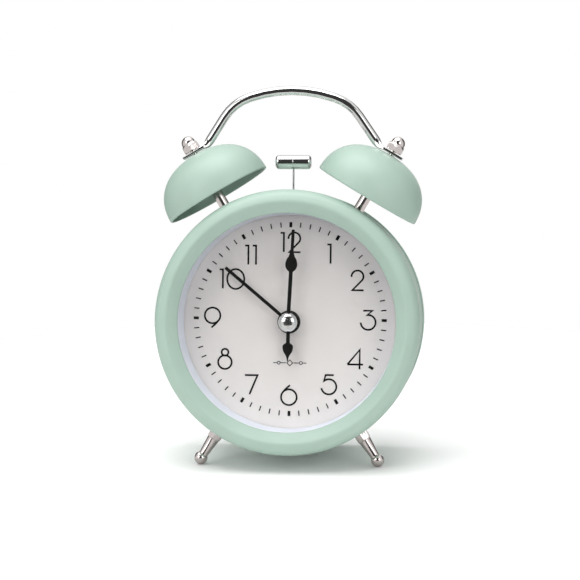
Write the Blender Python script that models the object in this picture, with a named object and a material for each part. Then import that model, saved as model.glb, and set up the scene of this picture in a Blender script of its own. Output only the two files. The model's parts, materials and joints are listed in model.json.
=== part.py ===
"""Twin-bell alarm clock: a round drum case that leans back on two ball feet and a moulded rest pad,
with two bells, a hammer between them, a carrying handle and a battery quartz movement inside.

Lengths are in millimetres and angles in degrees, in the case's own axes: x to the right seen from
the front, y to the rear along the clock's axis, z up. The origin is on the clock's axis, at the
widest plane of the bezel. The parts become metres when their meshes are made, and the empty
"case_frame" leans the whole case back and stands it on the world's origin.
"""

import math

import bmesh
import bpy
from mathutils import Matrix, Vector

MM = 0.001
GAP = 0.3  # between two pieces that touch on the real clock
ROUND = 44  # sides of the large round pieces
AXES = {"X": Vector((1, 0, 0)), "Y": Vector((0, 1, 0)), "Z": Vector((0, 0, 1))}

# Case
BEZEL_RADIUS = 45.0
BEZEL_RIDGE_RADIUS = 40.6
BEZEL_RIDGE_Y = -5.0
WINDOW_RADIUS = 36.6
SEAT_RADIUS = 39.0
LIP_BACK_Y = -1.0
BEZEL_SHOULDER_Y = 3.4
BEZEL_BACK_Y = 5.2
DRUM_RADIUS = 43.85
DRUM_WALL = 1.0
DRUM_BACK_Y = 36.8
COVER_RADIUS = 44.3
COVER_BACK_Y = 39.6
COVER_PLATE_Y = (36.0, 37.6)
STACK_RADIUS = SEAT_RADIUS - GAP
LENS_THICKNESS = 1.6
SPACER_BORE = 35.95
DIAL_Y = (9.6, 10.4)
CARRIER_Y = (10.7, 11.9)
BOSS_POINTS = {"top_left": (-31.0, 14.0), "top_right": (31.0, 14.0), "bottom": (0.0, -36.2)}
BOSS_RADIUS = 2.4
SCREW_RADIUS = 0.8

# Bells, posts and handle
BELL_ANGLE = 30.7
BELL_Y = 16.5
BELL_RIM_RADIUS = 18.65
BELL_HEIGHT = 16.2
BELL_WALL = 0.9
BELL_RIM_DISTANCE = 49.95
POST_RADIUS = 1.8
STUD_RADIUS = 1.0
STUD_HOLE_RADIUS = 1.25
CROWN_DISTANCE = BELL_RIM_DISTANCE + BELL_HEIGHT
STRAP_THICKNESS = 1.0
STRAP_WIDTH = 5.6
STRAP_OUTER = 4.0
STRAP_INNER = 5.2
STRAP_DISTANCE = CROWN_DISTANCE + GAP + STRAP_THICKNESS / 2
ROD_RADIUS = 1.375
HANDLE_SHOULDER = (20.2, 76.3)
HANDLE_PEAK = 80.5
HANDLE_BENDS = (3.0, 9.5, 78.0, 9.5, 3.0)
NUT_LOW = STRAP_DISTANCE + STRAP_THICKNESS / 2 + GAP
NUT_TOP = 73.35
NUT_FLATS = 5.5

# Feet
FOOT_ANGLE = 147.1
FOOT_Y = 9.0
BALL_DISTANCE = 55.85
BALL_RADIUS = 2.25

# Hands, pipes and motion work. The pinions and wheels share one centre distance.
HAND_THICKNESS = 0.4
MINUTE_HAND_Y = 4.3
HOUR_HAND_Y = 5.7
ALARM_HAND_Y = 7.1
MINUTE_ANGLE = 3.0
HOUR_ANGLE = 181.2
ALARM_ANGLE = -50.0
ARBOR_RADIUS = 0.9
HOUR_PIPE = (1.15, 1.65)
ALARM_PIPE = (1.95, 2.45)
DIAL_HOLE_RADIUS = 3.0
KNOB_DISTANCE = 12.0
MOTION_MODULE = 0.6
ALARM_MODULE = 2 * KNOB_DISTANCE / 36
ALARM_LAYER = (13.7, 14.7)
HOUR_LAYER = (15.1, 16.1)
MINUTE_LAYER = (16.5, 17.4)

# Step-motor train: 40:10, 40:8 and 30:10 teeth, so the rotor turns 60 times for one hour
CENTRE_MODULE = 0.48
THIRD_MODULE = 0.5
ROTOR_MODULE = 0.4
CENTRE_LAYER = (17.9, 18.7)
THIRD_LAYER = (19.2, 20.0)
ROTOR_LAYER = (20.5, 21.3)
THIRD_AT = (0.0, 12.0)
INTERMEDIATE_AT = (12.0, 12.0)
ROTOR_AT = (12.0, 20.0)
TRAIN_ARBOR_RADIUS = 0.45
MAGNET_RADIUS = 2.5
MAGNET_Y = (22.8, 25.8)
STATOR_Y = (24.0, 24.8)
COIL_X = (-13.8, 1.8)
COIL_RADIUS = 2.8

# Movement box
PLATE_Y = (12.2, 13.2)
BOX_X = 25.0
BOX_Z = (-12.9, 26.0)
BOX_Y = (13.5, 29.4)
BOX_WALL = 1.2

# Bell hammer and its motor
HAMMER_Y = 19.5
HAMMER_PIVOT_Z = 39.8
HAMMER_HEAD_Z = 54.55
HAMMER_HEAD_RADIUS = 2.45
HAMMER_HEAD_LENGTH = 12.3
HAMMER_ROD_RADIUS = 0.3
HAMMER_SWING = 13.0
LEVER_THICKNESS = 1.4
MOTOR_Z = 32.5
MOTOR_RADIUS = 5.8
MOTOR_Y = (23.1, 34.6)
CAM_THROW = 1.6
CAM_PIN_RADIUS = 1.0

# Battery (size AA) and what the rear cover holds
BATTERY_RADIUS = 7.1
BATTERY_HALF = 25.25
BATTERY_X = -0.6
BATTERY_Y = 28.6
BATTERY_Z = -21.8
WELL_X = 27.1
DOOR_PIVOT = (37.1, -28.25)
KNOB_RADIUS = 5.5
KNOB_Y = (38.0, 43.6)
SWITCH_Z = 24.0
SWITCH_TRAVEL = 4.0


# ---------------------------------------------------------------- mesh building

def at(axis, u, v, w):
    """The point with the in-plane coordinates u, v and the coordinate w along the axis."""
    return {"X": (w, u, v), "Y": (u, w, v), "Z": (u, v, w)}[axis]


def turned(profile, axis="Y", segments=24):
    """A solid of revolution from (radius, height) points; it closes on itself or on the axis."""
    bm = bmesh.new()
    verts = [bm.verts.new(at(axis, r, 0, h)) for r, h in profile]
    edges = [bm.edges.new(pair) for pair in zip(verts, verts[1:])]
    if profile[0][0] > 0:
        edges.append(bm.edges.new((verts[-1], verts[0])))
    bmesh.ops.spin(bm, geom=verts + edges, cent=(0, 0, 0), axis=AXES[axis], angle=math.tau,
                   steps=segments, use_merge=True)
    return bm


def prism(outline, low, high, axis="Y"):
    """A flat outline pushed along an axis, from low to high."""
    bm = bmesh.new()
    base = bm.faces.new([bm.verts.new(at(axis, u, v, low)) for u, v in outline])
    grown = bmesh.ops.extrude_face_region(bm, geom=[base])["geom"]
    moved = [item for item in grown if isinstance(item, bmesh.types.BMVert)]
    bmesh.ops.translate(bm, verts=moved, vec=AXES[axis] * (high - low))
    return bm


def loft(rings):
    """Rings of equally many points, bridged in turn and capped at both ends."""
    bm = bmesh.new()
    loops = [[bm.verts.new(point) for point in ring] for ring in rings]
    count = len(loops[0])
    for low, high in zip(loops, loops[1:]):
        for i in range(count):
            j = (i + 1) % count
            bm.faces.new((low[i], low[j], high[j], high[i]))
    bm.faces.new(loops[0])
    bm.faces.new(loops[-1])
    return bm


def box(low, high):
    outline = [(low[0], low[1]), (high[0], low[1]), (high[0], high[1]), (low[0], high[1])]
    return prism(outline, low[2], high[2], "Z")


def rod(radius, low, high, axis="Y", segments=12):
    return turned([(0, low), (radius, low), (radius, high), (0, high)], axis, segments)


def tube(bore, radius, low, high, axis="Y", segments=24):
    return turned([(bore, low), (radius, low), (radius, high), (bore, high)], axis, segments)


def circle_points(radius, count, centre=(0.0, 0.0), start=0.0, sweep=math.tau, closed=True):
    steps = count if closed else count - 1
    angles = [start + sweep * i / steps for i in range(count)]
    return [(centre[0] + radius * math.cos(a), centre[1] + radius * math.sin(a)) for a in angles]


def rounded_box(half_x, low_z, high_z, radius, corner_points=3):
    """The outline of an upright rectangle with round corners, in x and z."""
    outline = []
    corners = [(half_x, high_z, 0), (-half_x, high_z, 90), (-half_x, low_z, 180), (half_x, low_z, 270)]
    for x, z, start in corners:
        centre = (x - math.copysign(radius, x), z - (radius if z == high_z else -radius))
        outline += circle_points(radius, corner_points, centre, math.radians(start), math.pi / 2, False)
    return outline


def gear_outline(teeth, module, facing, gap=False, pointed=False):
    """Straight-flanked teeth with backlash; a tooth, or a gap, is centred on the facing angle."""
    pitch = module * teeth / 2
    root, tip = pitch - 1.1 * module, pitch + 0.75 * module
    step = math.tau / teeth
    start = math.radians(facing) + (step / 2 if gap else 0)
    tooth_points = [(-0.27, root), (-0.09, tip), (0.09, tip), (0.27, root)]
    if pointed:
        tooth_points = [(-0.34, root), (0.0, tip), (0.34, root)]
    outline = []
    for tooth in range(teeth):
        centre = start + tooth * step
        for share, radius in tooth_points:
            angle = centre + share * step
            outline.append((radius * math.cos(angle), radius * math.sin(angle)))
    return outline


def hexagon_ring(flats, height):
    """Twelve points on a hexagon across the Z axis: its corners and the middles of its sides."""
    half = flats / 2
    radii = [half / math.cos(math.radians(30)) if i % 2 == 0 else half for i in range(12)]
    return [(r * math.cos(math.tau * i / 12), r * math.sin(math.tau * i / 12), height)
            for i, r in enumerate(radii)]


def round_ring(radius, height, count=12):
    return [(x, y, height) for x, y in circle_points(radius, count)]


# ---------------------------------------------------------------- objects

def material(name, colour, roughness, metallic=0.0, alpha=1.0):
    made = bpy.data.materials.get(name)
    if made is None:
        made = bpy.data.materials.new(name)
        made.use_nodes = True
        shader = made.node_tree.nodes["Principled BSDF"]
        shader.inputs["Base Color"].default_value = (*colour, 1)
        shader.inputs["Roughness"].default_value = roughness
        shader.inputs["Metallic"].default_value = metallic
        shader.inputs["Alpha"].default_value = alpha
    return made


def mint():
    return material("mint_paint", (0.46, 0.62, 0.52), 0.4)


def nickel():
    return material("nickel", (0.70, 0.66, 0.64), 0.22, 1.0)


def chrome():
    return material("chrome", (0.78, 0.78, 0.78), 0.08, 1.0)


def black_paint():
    return material("black_paint", (0.015, 0.014, 0.014), 0.4)


def dial_card():
    return material("dial_card", (0.70, 0.69, 0.66), 0.7)


def pale_plastic():
    return material("pale_plastic", (0.62, 0.64, 0.68), 0.5)


def white_plastic():
    return material("white_plastic", (0.75, 0.75, 0.72), 0.5)


def dark_plastic():
    return material("dark_plastic", (0.03, 0.03, 0.032), 0.5)


def glass():
    return material("clear_lens", (0.95, 0.97, 0.97), 0.03, 0.0, 0.25)


def brass():
    return material("brass", (0.66, 0.47, 0.18), 0.35, 1.0)


def steel():
    return material("steel", (0.55, 0.55, 0.56), 0.35, 1.0)


def copper():
    return material("copper_wire", (0.58, 0.25, 0.12), 0.4, 1.0)


def board_green():
    return material("board_green", (0.03, 0.16, 0.07), 0.5)


def battery_wrap():
    return material("battery_wrap", (0.10, 0.12, 0.15), 0.35)


def place(name, bm, look, parent, where=(0, 0, 0), turn=0.0):
    """Makes the object at a place in its parent, turned about the depth axis by an angle."""
    bmesh.ops.remove_doubles(bm, verts=bm.verts, dist=1e-4)
    bmesh.ops.recalc_face_normals(bm, faces=bm.faces)
    bm.transform(Matrix.Scale(MM, 4))
    mesh = bpy.data.meshes.new(name)
    bm.to_mesh(mesh)
    bm.free()
    mesh.shade_smooth()
    mesh.set_sharp_from_angle(angle=math.radians(35))
    mesh.materials.append(look)
    obj = bpy.data.objects.new(name, mesh)
    bpy.context.scene.collection.objects.link(obj)
    obj.parent = parent
    obj.location = Vector(where) * MM
    obj.rotation_euler = (0, math.radians(turn), 0)
    return obj


def shape_with(obj, operation, bm, where=(0, 0, 0), turn=0.0):
    """Unites a helper solid with the object or cuts it out; the helper lies in the same parent."""
    look = obj.data.materials[0]
    tool = place(f"tool_{obj.name}", bm, look, obj.parent, where, turn)
    tool.hide_render = True
    tool.display_type = "WIRE"
    boolean = obj.modifiers.new(operation.lower(), "BOOLEAN")
    boolean.operation = operation
    boolean.object = tool
    return obj


def cut(obj, bm, where=(0, 0, 0), turn=0.0):
    return shape_with(obj, "DIFFERENCE", bm, where, turn)


def add(obj, bm, where=(0, 0, 0), turn=0.0):
    return shape_with(obj, "UNION", bm, where, turn)


# ---------------------------------------------------------------- case

def bezel(case):
    """A rolled ring: round outside, a ridge in front, and a flat slope in to the window."""
    outer_roll = [(BEZEL_RADIUS - 0.3, BEZEL_BACK_Y), (BEZEL_RADIUS, 3.2), (BEZEL_RADIUS, 0.6),
                  (BEZEL_RADIUS - 0.6, -2.0), (BEZEL_RADIUS - 1.8, -3.8), (BEZEL_RADIUS - 3.2, -4.7)]
    slope = [(BEZEL_RIDGE_RADIUS, BEZEL_RIDGE_Y), (WINDOW_RADIUS + 0.5, -2.3), (WINDOW_RADIUS, -1.9)]
    profile = [*outer_roll, *slope, (WINDOW_RADIUS, LIP_BACK_Y), (SEAT_RADIUS, LIP_BACK_Y),
               (SEAT_RADIUS, BEZEL_SHOULDER_Y), (DRUM_RADIUS + GAP, BEZEL_SHOULDER_Y),
               (DRUM_RADIUS + GAP, BEZEL_BACK_Y)]
    place("bezel", turned(profile, segments=ROUND), mint(), case)


def drum(case):
    low = BEZEL_SHOULDER_Y + GAP
    inner = DRUM_RADIUS - DRUM_WALL
    shell = place("case_drum", tube(inner, DRUM_RADIUS, low, DRUM_BACK_Y, segments=ROUND), mint(), case)
    for side in (-1, 1):
        post_hole = rod(STUD_HOLE_RADIUS, inner - 3, DRUM_RADIUS + 3, "Z")
        cut(shell, post_hole, (0, BELL_Y, 0), side * BELL_ANGLE)
        foot_hole = rod(STUD_HOLE_RADIUS, inner - 3, DRUM_RADIUS + 3, "Z")
        cut(shell, foot_hole, (0, FOOT_Y, 0), side * FOOT_ANGLE)
    reach = (DRUM_RADIUS - HAMMER_PIVOT_Z) * math.tan(math.radians(HAMMER_SWING)) + 2 * GAP
    slot = box((-reach, HAMMER_Y - 3 * GAP, inner - 3), (reach, HAMMER_Y + 3 * GAP, DRUM_RADIUS + 3))
    cut(shell, slot)


def glass_and_dial(case):
    lens_front = LIP_BACK_Y + GAP
    lens_back = lens_front + LENS_THICKNESS
    lens = rod(STACK_RADIUS, lens_front, lens_back, segments=ROUND)
    place("lens", lens, glass(), case)
    spacer = tube(SPACER_BORE, STACK_RADIUS, lens_back + GAP, DIAL_Y[0] - GAP, segments=ROUND)
    place("spacer_ring", spacer, pale_plastic(), case)
    card = tube(DIAL_HOLE_RADIUS, STACK_RADIUS, *DIAL_Y, segments=ROUND)
    place("dial", card, dial_card(), case)


def dial_carrier(case):
    plate = place("dial_carrier", tube(3.2, STACK_RADIUS, *CARRIER_Y, segments=32),
                  white_plastic(), case)
    for x, z in BOSS_POINTS.values():
        boss = rod(BOSS_RADIUS, CARRIER_Y[1] - 0.5, COVER_PLATE_Y[0] - GAP, segments=10)
        add(plate, boss, (x, 0, z))
        thread = rod(SCREW_RADIUS + GAP, COVER_PLATE_Y[0] - 9, COVER_PLATE_Y[0] + 1, segments=8)
        cut(plate, thread, (x, 0, z))
    for side in (-1, 1):
        cut(plate, rod(SCREW_RADIUS + GAP, CARRIER_Y[0] - 1, CARRIER_Y[1] + 1, segments=8),
            (side * (BOX_X + 3.2), 0, 4.0))


def well_heights():
    """The bottom and top of the battery compartment."""
    return BATTERY_Z - BATTERY_RADIUS - GAP, BATTERY_Z + BATTERY_RADIUS + GAP


def rear_cover(case):
    front, back = COVER_PLATE_Y
    spigot = DRUM_RADIUS - DRUM_WALL - GAP
    profile = [(0, front), (spigot - 1.2, front), (spigot - 1.2, front - 2.2), (spigot, front - 2.2),
               (spigot, DRUM_BACK_Y + GAP), (COVER_RADIUS - 0.3, DRUM_BACK_Y + GAP),
               (COVER_RADIUS, DRUM_BACK_Y + 2 * GAP), (COVER_RADIUS, COVER_BACK_Y - 0.6),
               (COVER_RADIUS - 0.5, COVER_BACK_Y), (COVER_RADIUS - 1.3, COVER_BACK_Y),
               (COVER_RADIUS - 1.9, COVER_BACK_Y - 0.6), (COVER_RADIUS - 2.2, back), (0, back)]
    cover = place("rear_cover", turned(profile, segments=ROUND), mint(), case)
    (well_low, well_high), well_front = well_heights(), BATTERY_Y - BATTERY_RADIUS - GAP
    wall = 1.0
    add(cover, box((-WELL_X - wall, well_front - wall, well_low - wall),
                   (WELL_X + wall, front + 0.8, well_high + wall)))
    cut(cover, box((-WELL_X, well_front, well_low), (WELL_X, back + 1, well_high)))
    pivot_y, pivot_z = DOOR_PIVOT
    peg_slots = box((-WELL_X - 0.6, pivot_y - 0.4, pivot_z - 0.4),
                    (WELL_X + 0.6, pivot_y + 0.4, pivot_z + 0.4))
    cut(cover, peg_slots)
    for side in (-1, 1):
        cut(cover, rod(1.5, front - 1, back + 1), (side * KNOB_DISTANCE, 0, 0))
    slot = box((-1.4, front - 1, SWITCH_Z - 1.3), (1.4 + SWITCH_TRAVEL, back + 1, SWITCH_Z + 1.3))
    cut(cover, slot, (-SWITCH_TRAVEL / 2, 0, 0))
    for x, z in BOSS_POINTS.values():
        cut(cover, rod(SCREW_RADIUS + GAP, front - 1, back + 1, segments=8), (x, 0, z))
    return cover


def rest_pad(cover, case, lean, floor):
    """A block under the rear cover's rim whose underside is level and lies on the floor."""
    half_width, depth, height = 7.0, 1.6, 2.0
    pad = box((-half_width, -depth / 2, 0), (half_width, depth / 2, height))
    middle_y = DRUM_BACK_Y + GAP + 1.3
    bmesh.ops.rotate(pad, cent=(0, 0, 0), matrix=Matrix.Rotation(lean, 3, "X"), verts=pad.verts)
    down = middle_y * math.sin(lean)
    bottom = (floor + down) / math.cos(lean)
    add(cover, pad, (0, middle_y, bottom))


def rear_screws(case):
    head_y = COVER_PLATE_Y[1] + GAP
    for corner, (x, z) in BOSS_POINTS.items():
        profile = [(0, COVER_PLATE_Y[0] - 7), (SCREW_RADIUS, COVER_PLATE_Y[0] - 6.6),
                   (SCREW_RADIUS, head_y), (1.7, head_y), (1.7, head_y + 0.6),
                   (1.1, head_y + 1.1), (0, head_y + 1.1)]
        screw = place(f"rear_screw_{corner}", turned(profile, segments=10), steel(), case, (x, 0, z))
        cut(screw, box((-3, head_y + 0.6, -0.2), (3, head_y + 2, 0.2)), (x, 0, z), 35)


def battery_door(case):
    """Tilts out about two pegs near its lower edge."""
    pivot_y, pivot_z = DOOR_PIVOT
    low, high = well_heights()
    half, bottom, top = WELL_X - GAP, low + GAP - pivot_z, high - GAP - pivot_z
    y_low, y_high = COVER_PLATE_Y[0] - pivot_y + 0.2, COVER_PLATE_Y[1] - pivot_y
    outline = [(-half, bottom), (half, bottom), (half, top), (-half, top)]
    door = place("battery_door", prism(outline, y_low, y_high), mint(), case, (0, pivot_y, pivot_z))
    add(door, box((-half - 0.5, -0.25, -0.25), (half + 0.5, 0.25, 0.25)), (0, pivot_y, pivot_z))
    for rib in range(3):
        z = top - 2.2 - 1.5 * rib
        grip = box((-5.0, y_high - 0.3, z - 0.35), (5.0, y_high + 0.5, z + 0.35))
        add(door, grip, (0, pivot_y, pivot_z))


def knobs(case):
    for side, name in ((1, "time_knob"), (-1, "alarm_knob")):
        low, high = KNOB_Y
        outline = []
        flutes = 16
        for i in range(flutes * 2):
            radius = KNOB_RADIUS if i % 2 else KNOB_RADIUS - 0.5
            angle = math.pi * i / flutes
            outline.append((radius * math.cos(angle), radius * math.sin(angle)))
        where = (side * KNOB_DISTANCE, 0, 0)
        knob = place(name, prism(outline, low + 0.8, high), dark_plastic(), case, where)
        shaft_end = PLATE_Y[0] + 0.4
        add(knob, rod(1.0, shaft_end, low + 1.5), where)
        add(knob, rod(3.6, low, low + 1.2, segments=16), where)


def alarm_switch(case):
    """Slides in its slot between off, at rest, and on."""
    under, over = COVER_PLATE_Y[0] - GAP, COVER_PLATE_Y[1] + GAP
    outline = [(-3.4, under - 0.8), (3.4, under - 0.8), (3.4, under), (1.1, under), (1.1, over),
               (2.2, over), (2.2, over + 1.6), (-2.2, over + 1.6), (-2.2, over), (-1.1, over),
               (-1.1, under), (-3.4, under)]
    place("alarm_switch", prism(outline, -1.0, 1.0, "Z"), dark_plastic(), case,
          (-SWITCH_TRAVEL / 2, 0, SWITCH_Z))


# ---------------------------------------------------------------- bells, handle, feet

def bell_profile():
    """Down the outside from the crown to the rim, and back up inside it."""
    arc = 6
    start = math.radians(78)
    outer = []
    inner = []
    for i in range(arc + 1):
        angle = start * (1 - i / arc)
        outer.append((BELL_RIM_RADIUS * math.cos(angle),
                      BELL_RIM_DISTANCE + BELL_HEIGHT * math.sin(angle)))
        inner.append(((BELL_RIM_RADIUS - BELL_WALL) * math.cos(angle),
                      BELL_RIM_DISTANCE + (BELL_HEIGHT - BELL_WALL) * math.sin(angle)))
    crown = [(STUD_HOLE_RADIUS, CROWN_DISTANCE - BELL_WALL), (STUD_HOLE_RADIUS, CROWN_DISTANCE)]
    return [*crown, *outer, *reversed(inner)]


def bells(case):
    for side, name in ((-1, "left"), (1, "right")):
        turn = side * BELL_ANGLE
        centre = (0, BELL_Y, 0)
        place(f"{name}_bell", turned(bell_profile(), "Z", 32), mint(), case, centre, turn)
        post_low = DRUM_RADIUS + GAP
        post_high = CROWN_DISTANCE - BELL_WALL - GAP
        inner_end = DRUM_RADIUS - DRUM_WALL - 2.9
        profile = [(0, inner_end), (STUD_RADIUS, inner_end), (STUD_RADIUS, post_low),
                   (POST_RADIUS, post_low), (POST_RADIUS, post_high), (STUD_RADIUS, post_high),
                   (STUD_RADIUS, NUT_LOW + 3.2), (0, NUT_LOW + 3.2)]
        place(f"{name}_bell_post", turned(profile, "Z", 16), nickel(), case, centre, turn)
        cap_nut(case, f"{name}_cap_nut", centre, turn)
        inner_nut(case, f"{name}_post_nut", centre, turn)


def cap_nut(case, name, centre, turn):
    dome = 2.35
    dome_base = NUT_TOP - dome
    rings = [round_ring(NUT_FLATS / 2, NUT_LOW), hexagon_ring(NUT_FLATS, NUT_LOW + 0.3),
             hexagon_ring(NUT_FLATS, dome_base - 0.7), round_ring(dome + 0.15, dome_base - 0.1)]
    for lift in (0, 22.5, 45, 67.5):
        angle = math.radians(lift)
        rings.append(round_ring(dome * math.cos(angle), dome_base + dome * math.sin(angle)))
    nut = place(name, loft(rings), nickel(), case, centre, turn)
    cut(nut, rod(STUD_HOLE_RADIUS, NUT_LOW - 1, NUT_LOW + 3.2 + GAP, "Z"), centre, turn)


def inner_nut(case, name, centre, turn):
    """The hexagon nut inside the drum that holds a bell post or a foot."""
    high = DRUM_RADIUS - DRUM_WALL - 2 * GAP
    nut = place(name, loft([hexagon_ring(4.0, high - 1.8), hexagon_ring(4.0, high)]), nickel(), case,
                centre, turn)
    cut(nut, rod(STUD_HOLE_RADIUS, high - 3, high + 1, "Z", 12), centre, turn)


def fillet_points(before, corner, after, radius, spacing):
    """Points on the arc that rounds one corner of a path."""
    into = (corner - before).normalized()
    out = (after - corner).normalized()
    turn = math.acos(max(-1.0, min(1.0, into.dot(out))))
    reach = radius * math.tan(turn / 2)
    start = corner - into * reach
    side = out - into * into.dot(out)
    centre = start + side.normalized() * radius
    count = max(3, round(radius * turn / spacing) + 1)
    points = []
    for i in range(count):
        angle = turn * i / (count - 1)
        points.append(centre + (start - centre) * math.cos(angle) + into * radius * math.sin(angle))
    return points


def handle_path():
    """The rod's centre line in x and z, from the left strap's end over the top to the right one."""
    radial = Vector((math.sin(math.radians(BELL_ANGLE)), math.cos(math.radians(BELL_ANGLE))))
    along = Vector((radial.y, -radial.x))
    end = radial * STRAP_DISTANCE + along * STRAP_OUTER
    bend = radial * STRAP_DISTANCE - along * STRAP_INNER
    right = [Vector((0, HANDLE_PEAK)), Vector(HANDLE_SHOULDER), bend, end]
    left = [Vector((-p.x, p.y)) for p in reversed(right[1:])]
    corners = left + right
    path = [corners[0], corners[0].lerp(corners[1], 0.45)]
    for i, radius in enumerate(HANDLE_BENDS):
        spacing = 4.5 if radius > 20 else 1.9
        path += fillet_points(corners[i], corners[i + 1], corners[i + 2], radius, spacing)
    path += [corners[-1].lerp(corners[-2], 0.45), corners[-1]]
    return path


def handle(case):
    path = handle_path()
    lengths = [0.0]
    for a, b in zip(path, path[1:]):
        lengths.append(lengths[-1] + (b - a).length)
    total = lengths[-1]
    flat_run, blend_run = 6.2, 4.0
    rings = []
    sides = 10
    for i, point in enumerate(path):
        before, after = path[max(i - 1, 0)], path[min(i + 1, len(path) - 1)]
        forward = (after - before).normalized()
        normal = Vector((-forward.y, forward.x))
        from_end = min(lengths[i], total - lengths[i])
        share = min(max((from_end - flat_run) / blend_run, 0.0), 1.0)
        share = share * share * (3 - 2 * share)
        thick = STRAP_THICKNESS / 2 + (ROD_RADIUS - STRAP_THICKNESS / 2) * share
        wide = STRAP_WIDTH / 2 + (ROD_RADIUS - STRAP_WIDTH / 2) * share
        ring = []
        for k in range(sides):
            angle = math.tau * (k + 0.5) / sides
            squareness = 1.0 + (1 - share) * 0.25
            across = max(-1.0, min(1.0, math.sin(angle) * squareness)) * thick
            depth = max(-1.0, min(1.0, math.cos(angle) * squareness)) * wide
            spot = point + normal * across
            ring.append((spot.x, BELL_Y + depth, spot.y))
        rings.append(ring)
    bar = place("handle", loft(rings), chrome(), case)
    for side in (-1, 1):
        cut(bar, rod(STUD_HOLE_RADIUS, STRAP_DISTANCE - 3, STRAP_DISTANCE + 3, "Z", 16),
            (0, BELL_Y, 0), side * BELL_ANGLE)


def feet(case):
    neck_low = DRUM_RADIUS + 2 * GAP
    for side, name in ((-1, "left"), (1, "right")):
        centre = (0, FOOT_Y, 0)
        turn = side * FOOT_ANGLE
        inner_end = DRUM_RADIUS - DRUM_WALL - 2.9
        rings = [round_ring(STUD_RADIUS, inner_end), round_ring(STUD_RADIUS, neck_low),
                 round_ring(2.2, neck_low), hexagon_ring(4.5, neck_low + 0.3),
                 hexagon_ring(4.5, 47.6), round_ring(2.1, 48.1), round_ring(1.55, 53.6)]
        for lift in (-40, -15, 10, 35, 60, 78):
            angle = math.radians(lift)
            rings.append(round_ring(BALL_RADIUS * math.cos(angle),
                                    BALL_DISTANCE + BALL_RADIUS * math.sin(angle)))
        place(f"{name}_foot", loft(rings), nickel(), case, centre, turn)
        inner_nut(case, f"{name}_foot_nut", centre, turn)


# ---------------------------------------------------------------- hands and motion work

def hand_outline(length, hub, stem, drop_start, drop_end, drop_at, drop_width, tip):
    """Half of a teardrop hand that points up, mirrored: hub, stem, drop and thin tip."""
    half = []
    hub_angle = math.asin(stem / 2 / hub)
    for i in range(9):
        angle = -math.pi / 2 + (math.pi - hub_angle) * i / 8
        half.append((hub * math.cos(angle), hub * math.sin(angle)))
    half.append((stem / 2, drop_start))
    if drop_width > 0:
        for i in range(1, 6):
            angle = math.pi * i / 10
            z = drop_at - (drop_at - drop_start) * math.cos(angle)
            half.append((max(stem / 2, drop_width / 2 * math.sin(angle)), z))
        half.append((drop_width * 0.30, drop_at + (drop_end - drop_at) * 0.5))
        half.append((tip / 2, drop_end))
    half.append((tip / 2, length))
    return half + [(-x, z) for x, z in reversed(half[1:])]


def hands(case):
    minute = hand_outline(31.3, 3.85, 1.15, 17.0, 24.4, 19.6, 4.0, 0.8)
    hour = hand_outline(13.2, 3.5, 1.1, 7.0, 11.6, 8.9, 3.5, 0.8)
    alarm = hand_outline(28.3, 3.5, 1.15, 16.0, 0, 0, 0, 0.85)
    for name, outline, y, angle, bore in (
        ("minute_hand", minute, MINUTE_HAND_Y, MINUTE_ANGLE, ARBOR_RADIUS + 0.2),
        ("hour_hand", hour, HOUR_HAND_Y, HOUR_ANGLE, HOUR_PIPE[1] + 0.2),
        ("alarm_hand", alarm, ALARM_HAND_Y, ALARM_ANGLE, ALARM_PIPE[1] + 0.2),
    ):
        hand = place(name, prism(outline, y, y + HAND_THICKNESS), black_paint(), case, turn=angle)
        cut(hand, rod(bore, y - 1, y + 1, segments=16))
    dome = [(0, 1.9), (1.2, 2.05), (2.2, 2.45), (2.9, 3.1), (3.1, 3.6), (3.1, 4.0), (1.1, 4.0),
            (1.1, 2.9), (0, 2.9)]
    place("hand_cap", turned(dome, segments=16), chrome(), case)


def arbor_and_pipes(case):
    arbor = place("centre_arbor", rod(ARBOR_RADIUS, 3.1, CENTRE_LAYER[1] + 1.2), brass(), case)
    add(arbor, prism(gear_outline(10, MOTION_MODULE, 0, gap=True), *MINUTE_LAYER))
    hour = place("hour_wheel", prism(gear_outline(32, MOTION_MODULE, 0, gap=True), *HOUR_LAYER),
                 white_plastic(), case)
    add(hour, rod(HOUR_PIPE[1], HOUR_HAND_Y - 0.3, HOUR_LAYER[1] - 0.2, segments=16))
    cut(hour, rod(HOUR_PIPE[0], HOUR_HAND_Y - 1, HOUR_LAYER[1] + 1, segments=16))
    alarm = place("alarm_wheel", prism(gear_outline(24, ALARM_MODULE, 180, gap=True), *ALARM_LAYER),
                  white_plastic(), case)
    add(alarm, rod(ALARM_PIPE[1], ALARM_HAND_Y - 0.3, ALARM_LAYER[1] - 0.2, segments=16))
    cut(alarm, rod(ALARM_PIPE[0], ALARM_HAND_Y - 1, ALARM_LAYER[1] + 1, segments=16))


def set_wheels(case):
    """The minute wheel on the time knob's shaft and the pinion on the alarm knob's shaft."""
    here = (KNOB_DISTANCE, 0, 0)
    minute = place("minute_wheel", prism(gear_outline(30, MOTION_MODULE, 180), *MINUTE_LAYER),
                   white_plastic(), case, here)
    add(minute, prism(gear_outline(8, MOTION_MODULE, 180), HOUR_LAYER[0], MINUTE_LAYER[0] + 0.3), here)
    cut(minute, rod(1.2, HOUR_LAYER[0] - 1, MINUTE_LAYER[1] + 1), here)
    there = (-KNOB_DISTANCE, 0, 0)
    pinion = place("alarm_pinion", prism(gear_outline(12, ALARM_MODULE, 0), *ALARM_LAYER),
                   white_plastic(), case, there)
    cut(pinion, rod(1.2, ALARM_LAYER[0] - 1, ALARM_LAYER[1] + 1), there)


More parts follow.
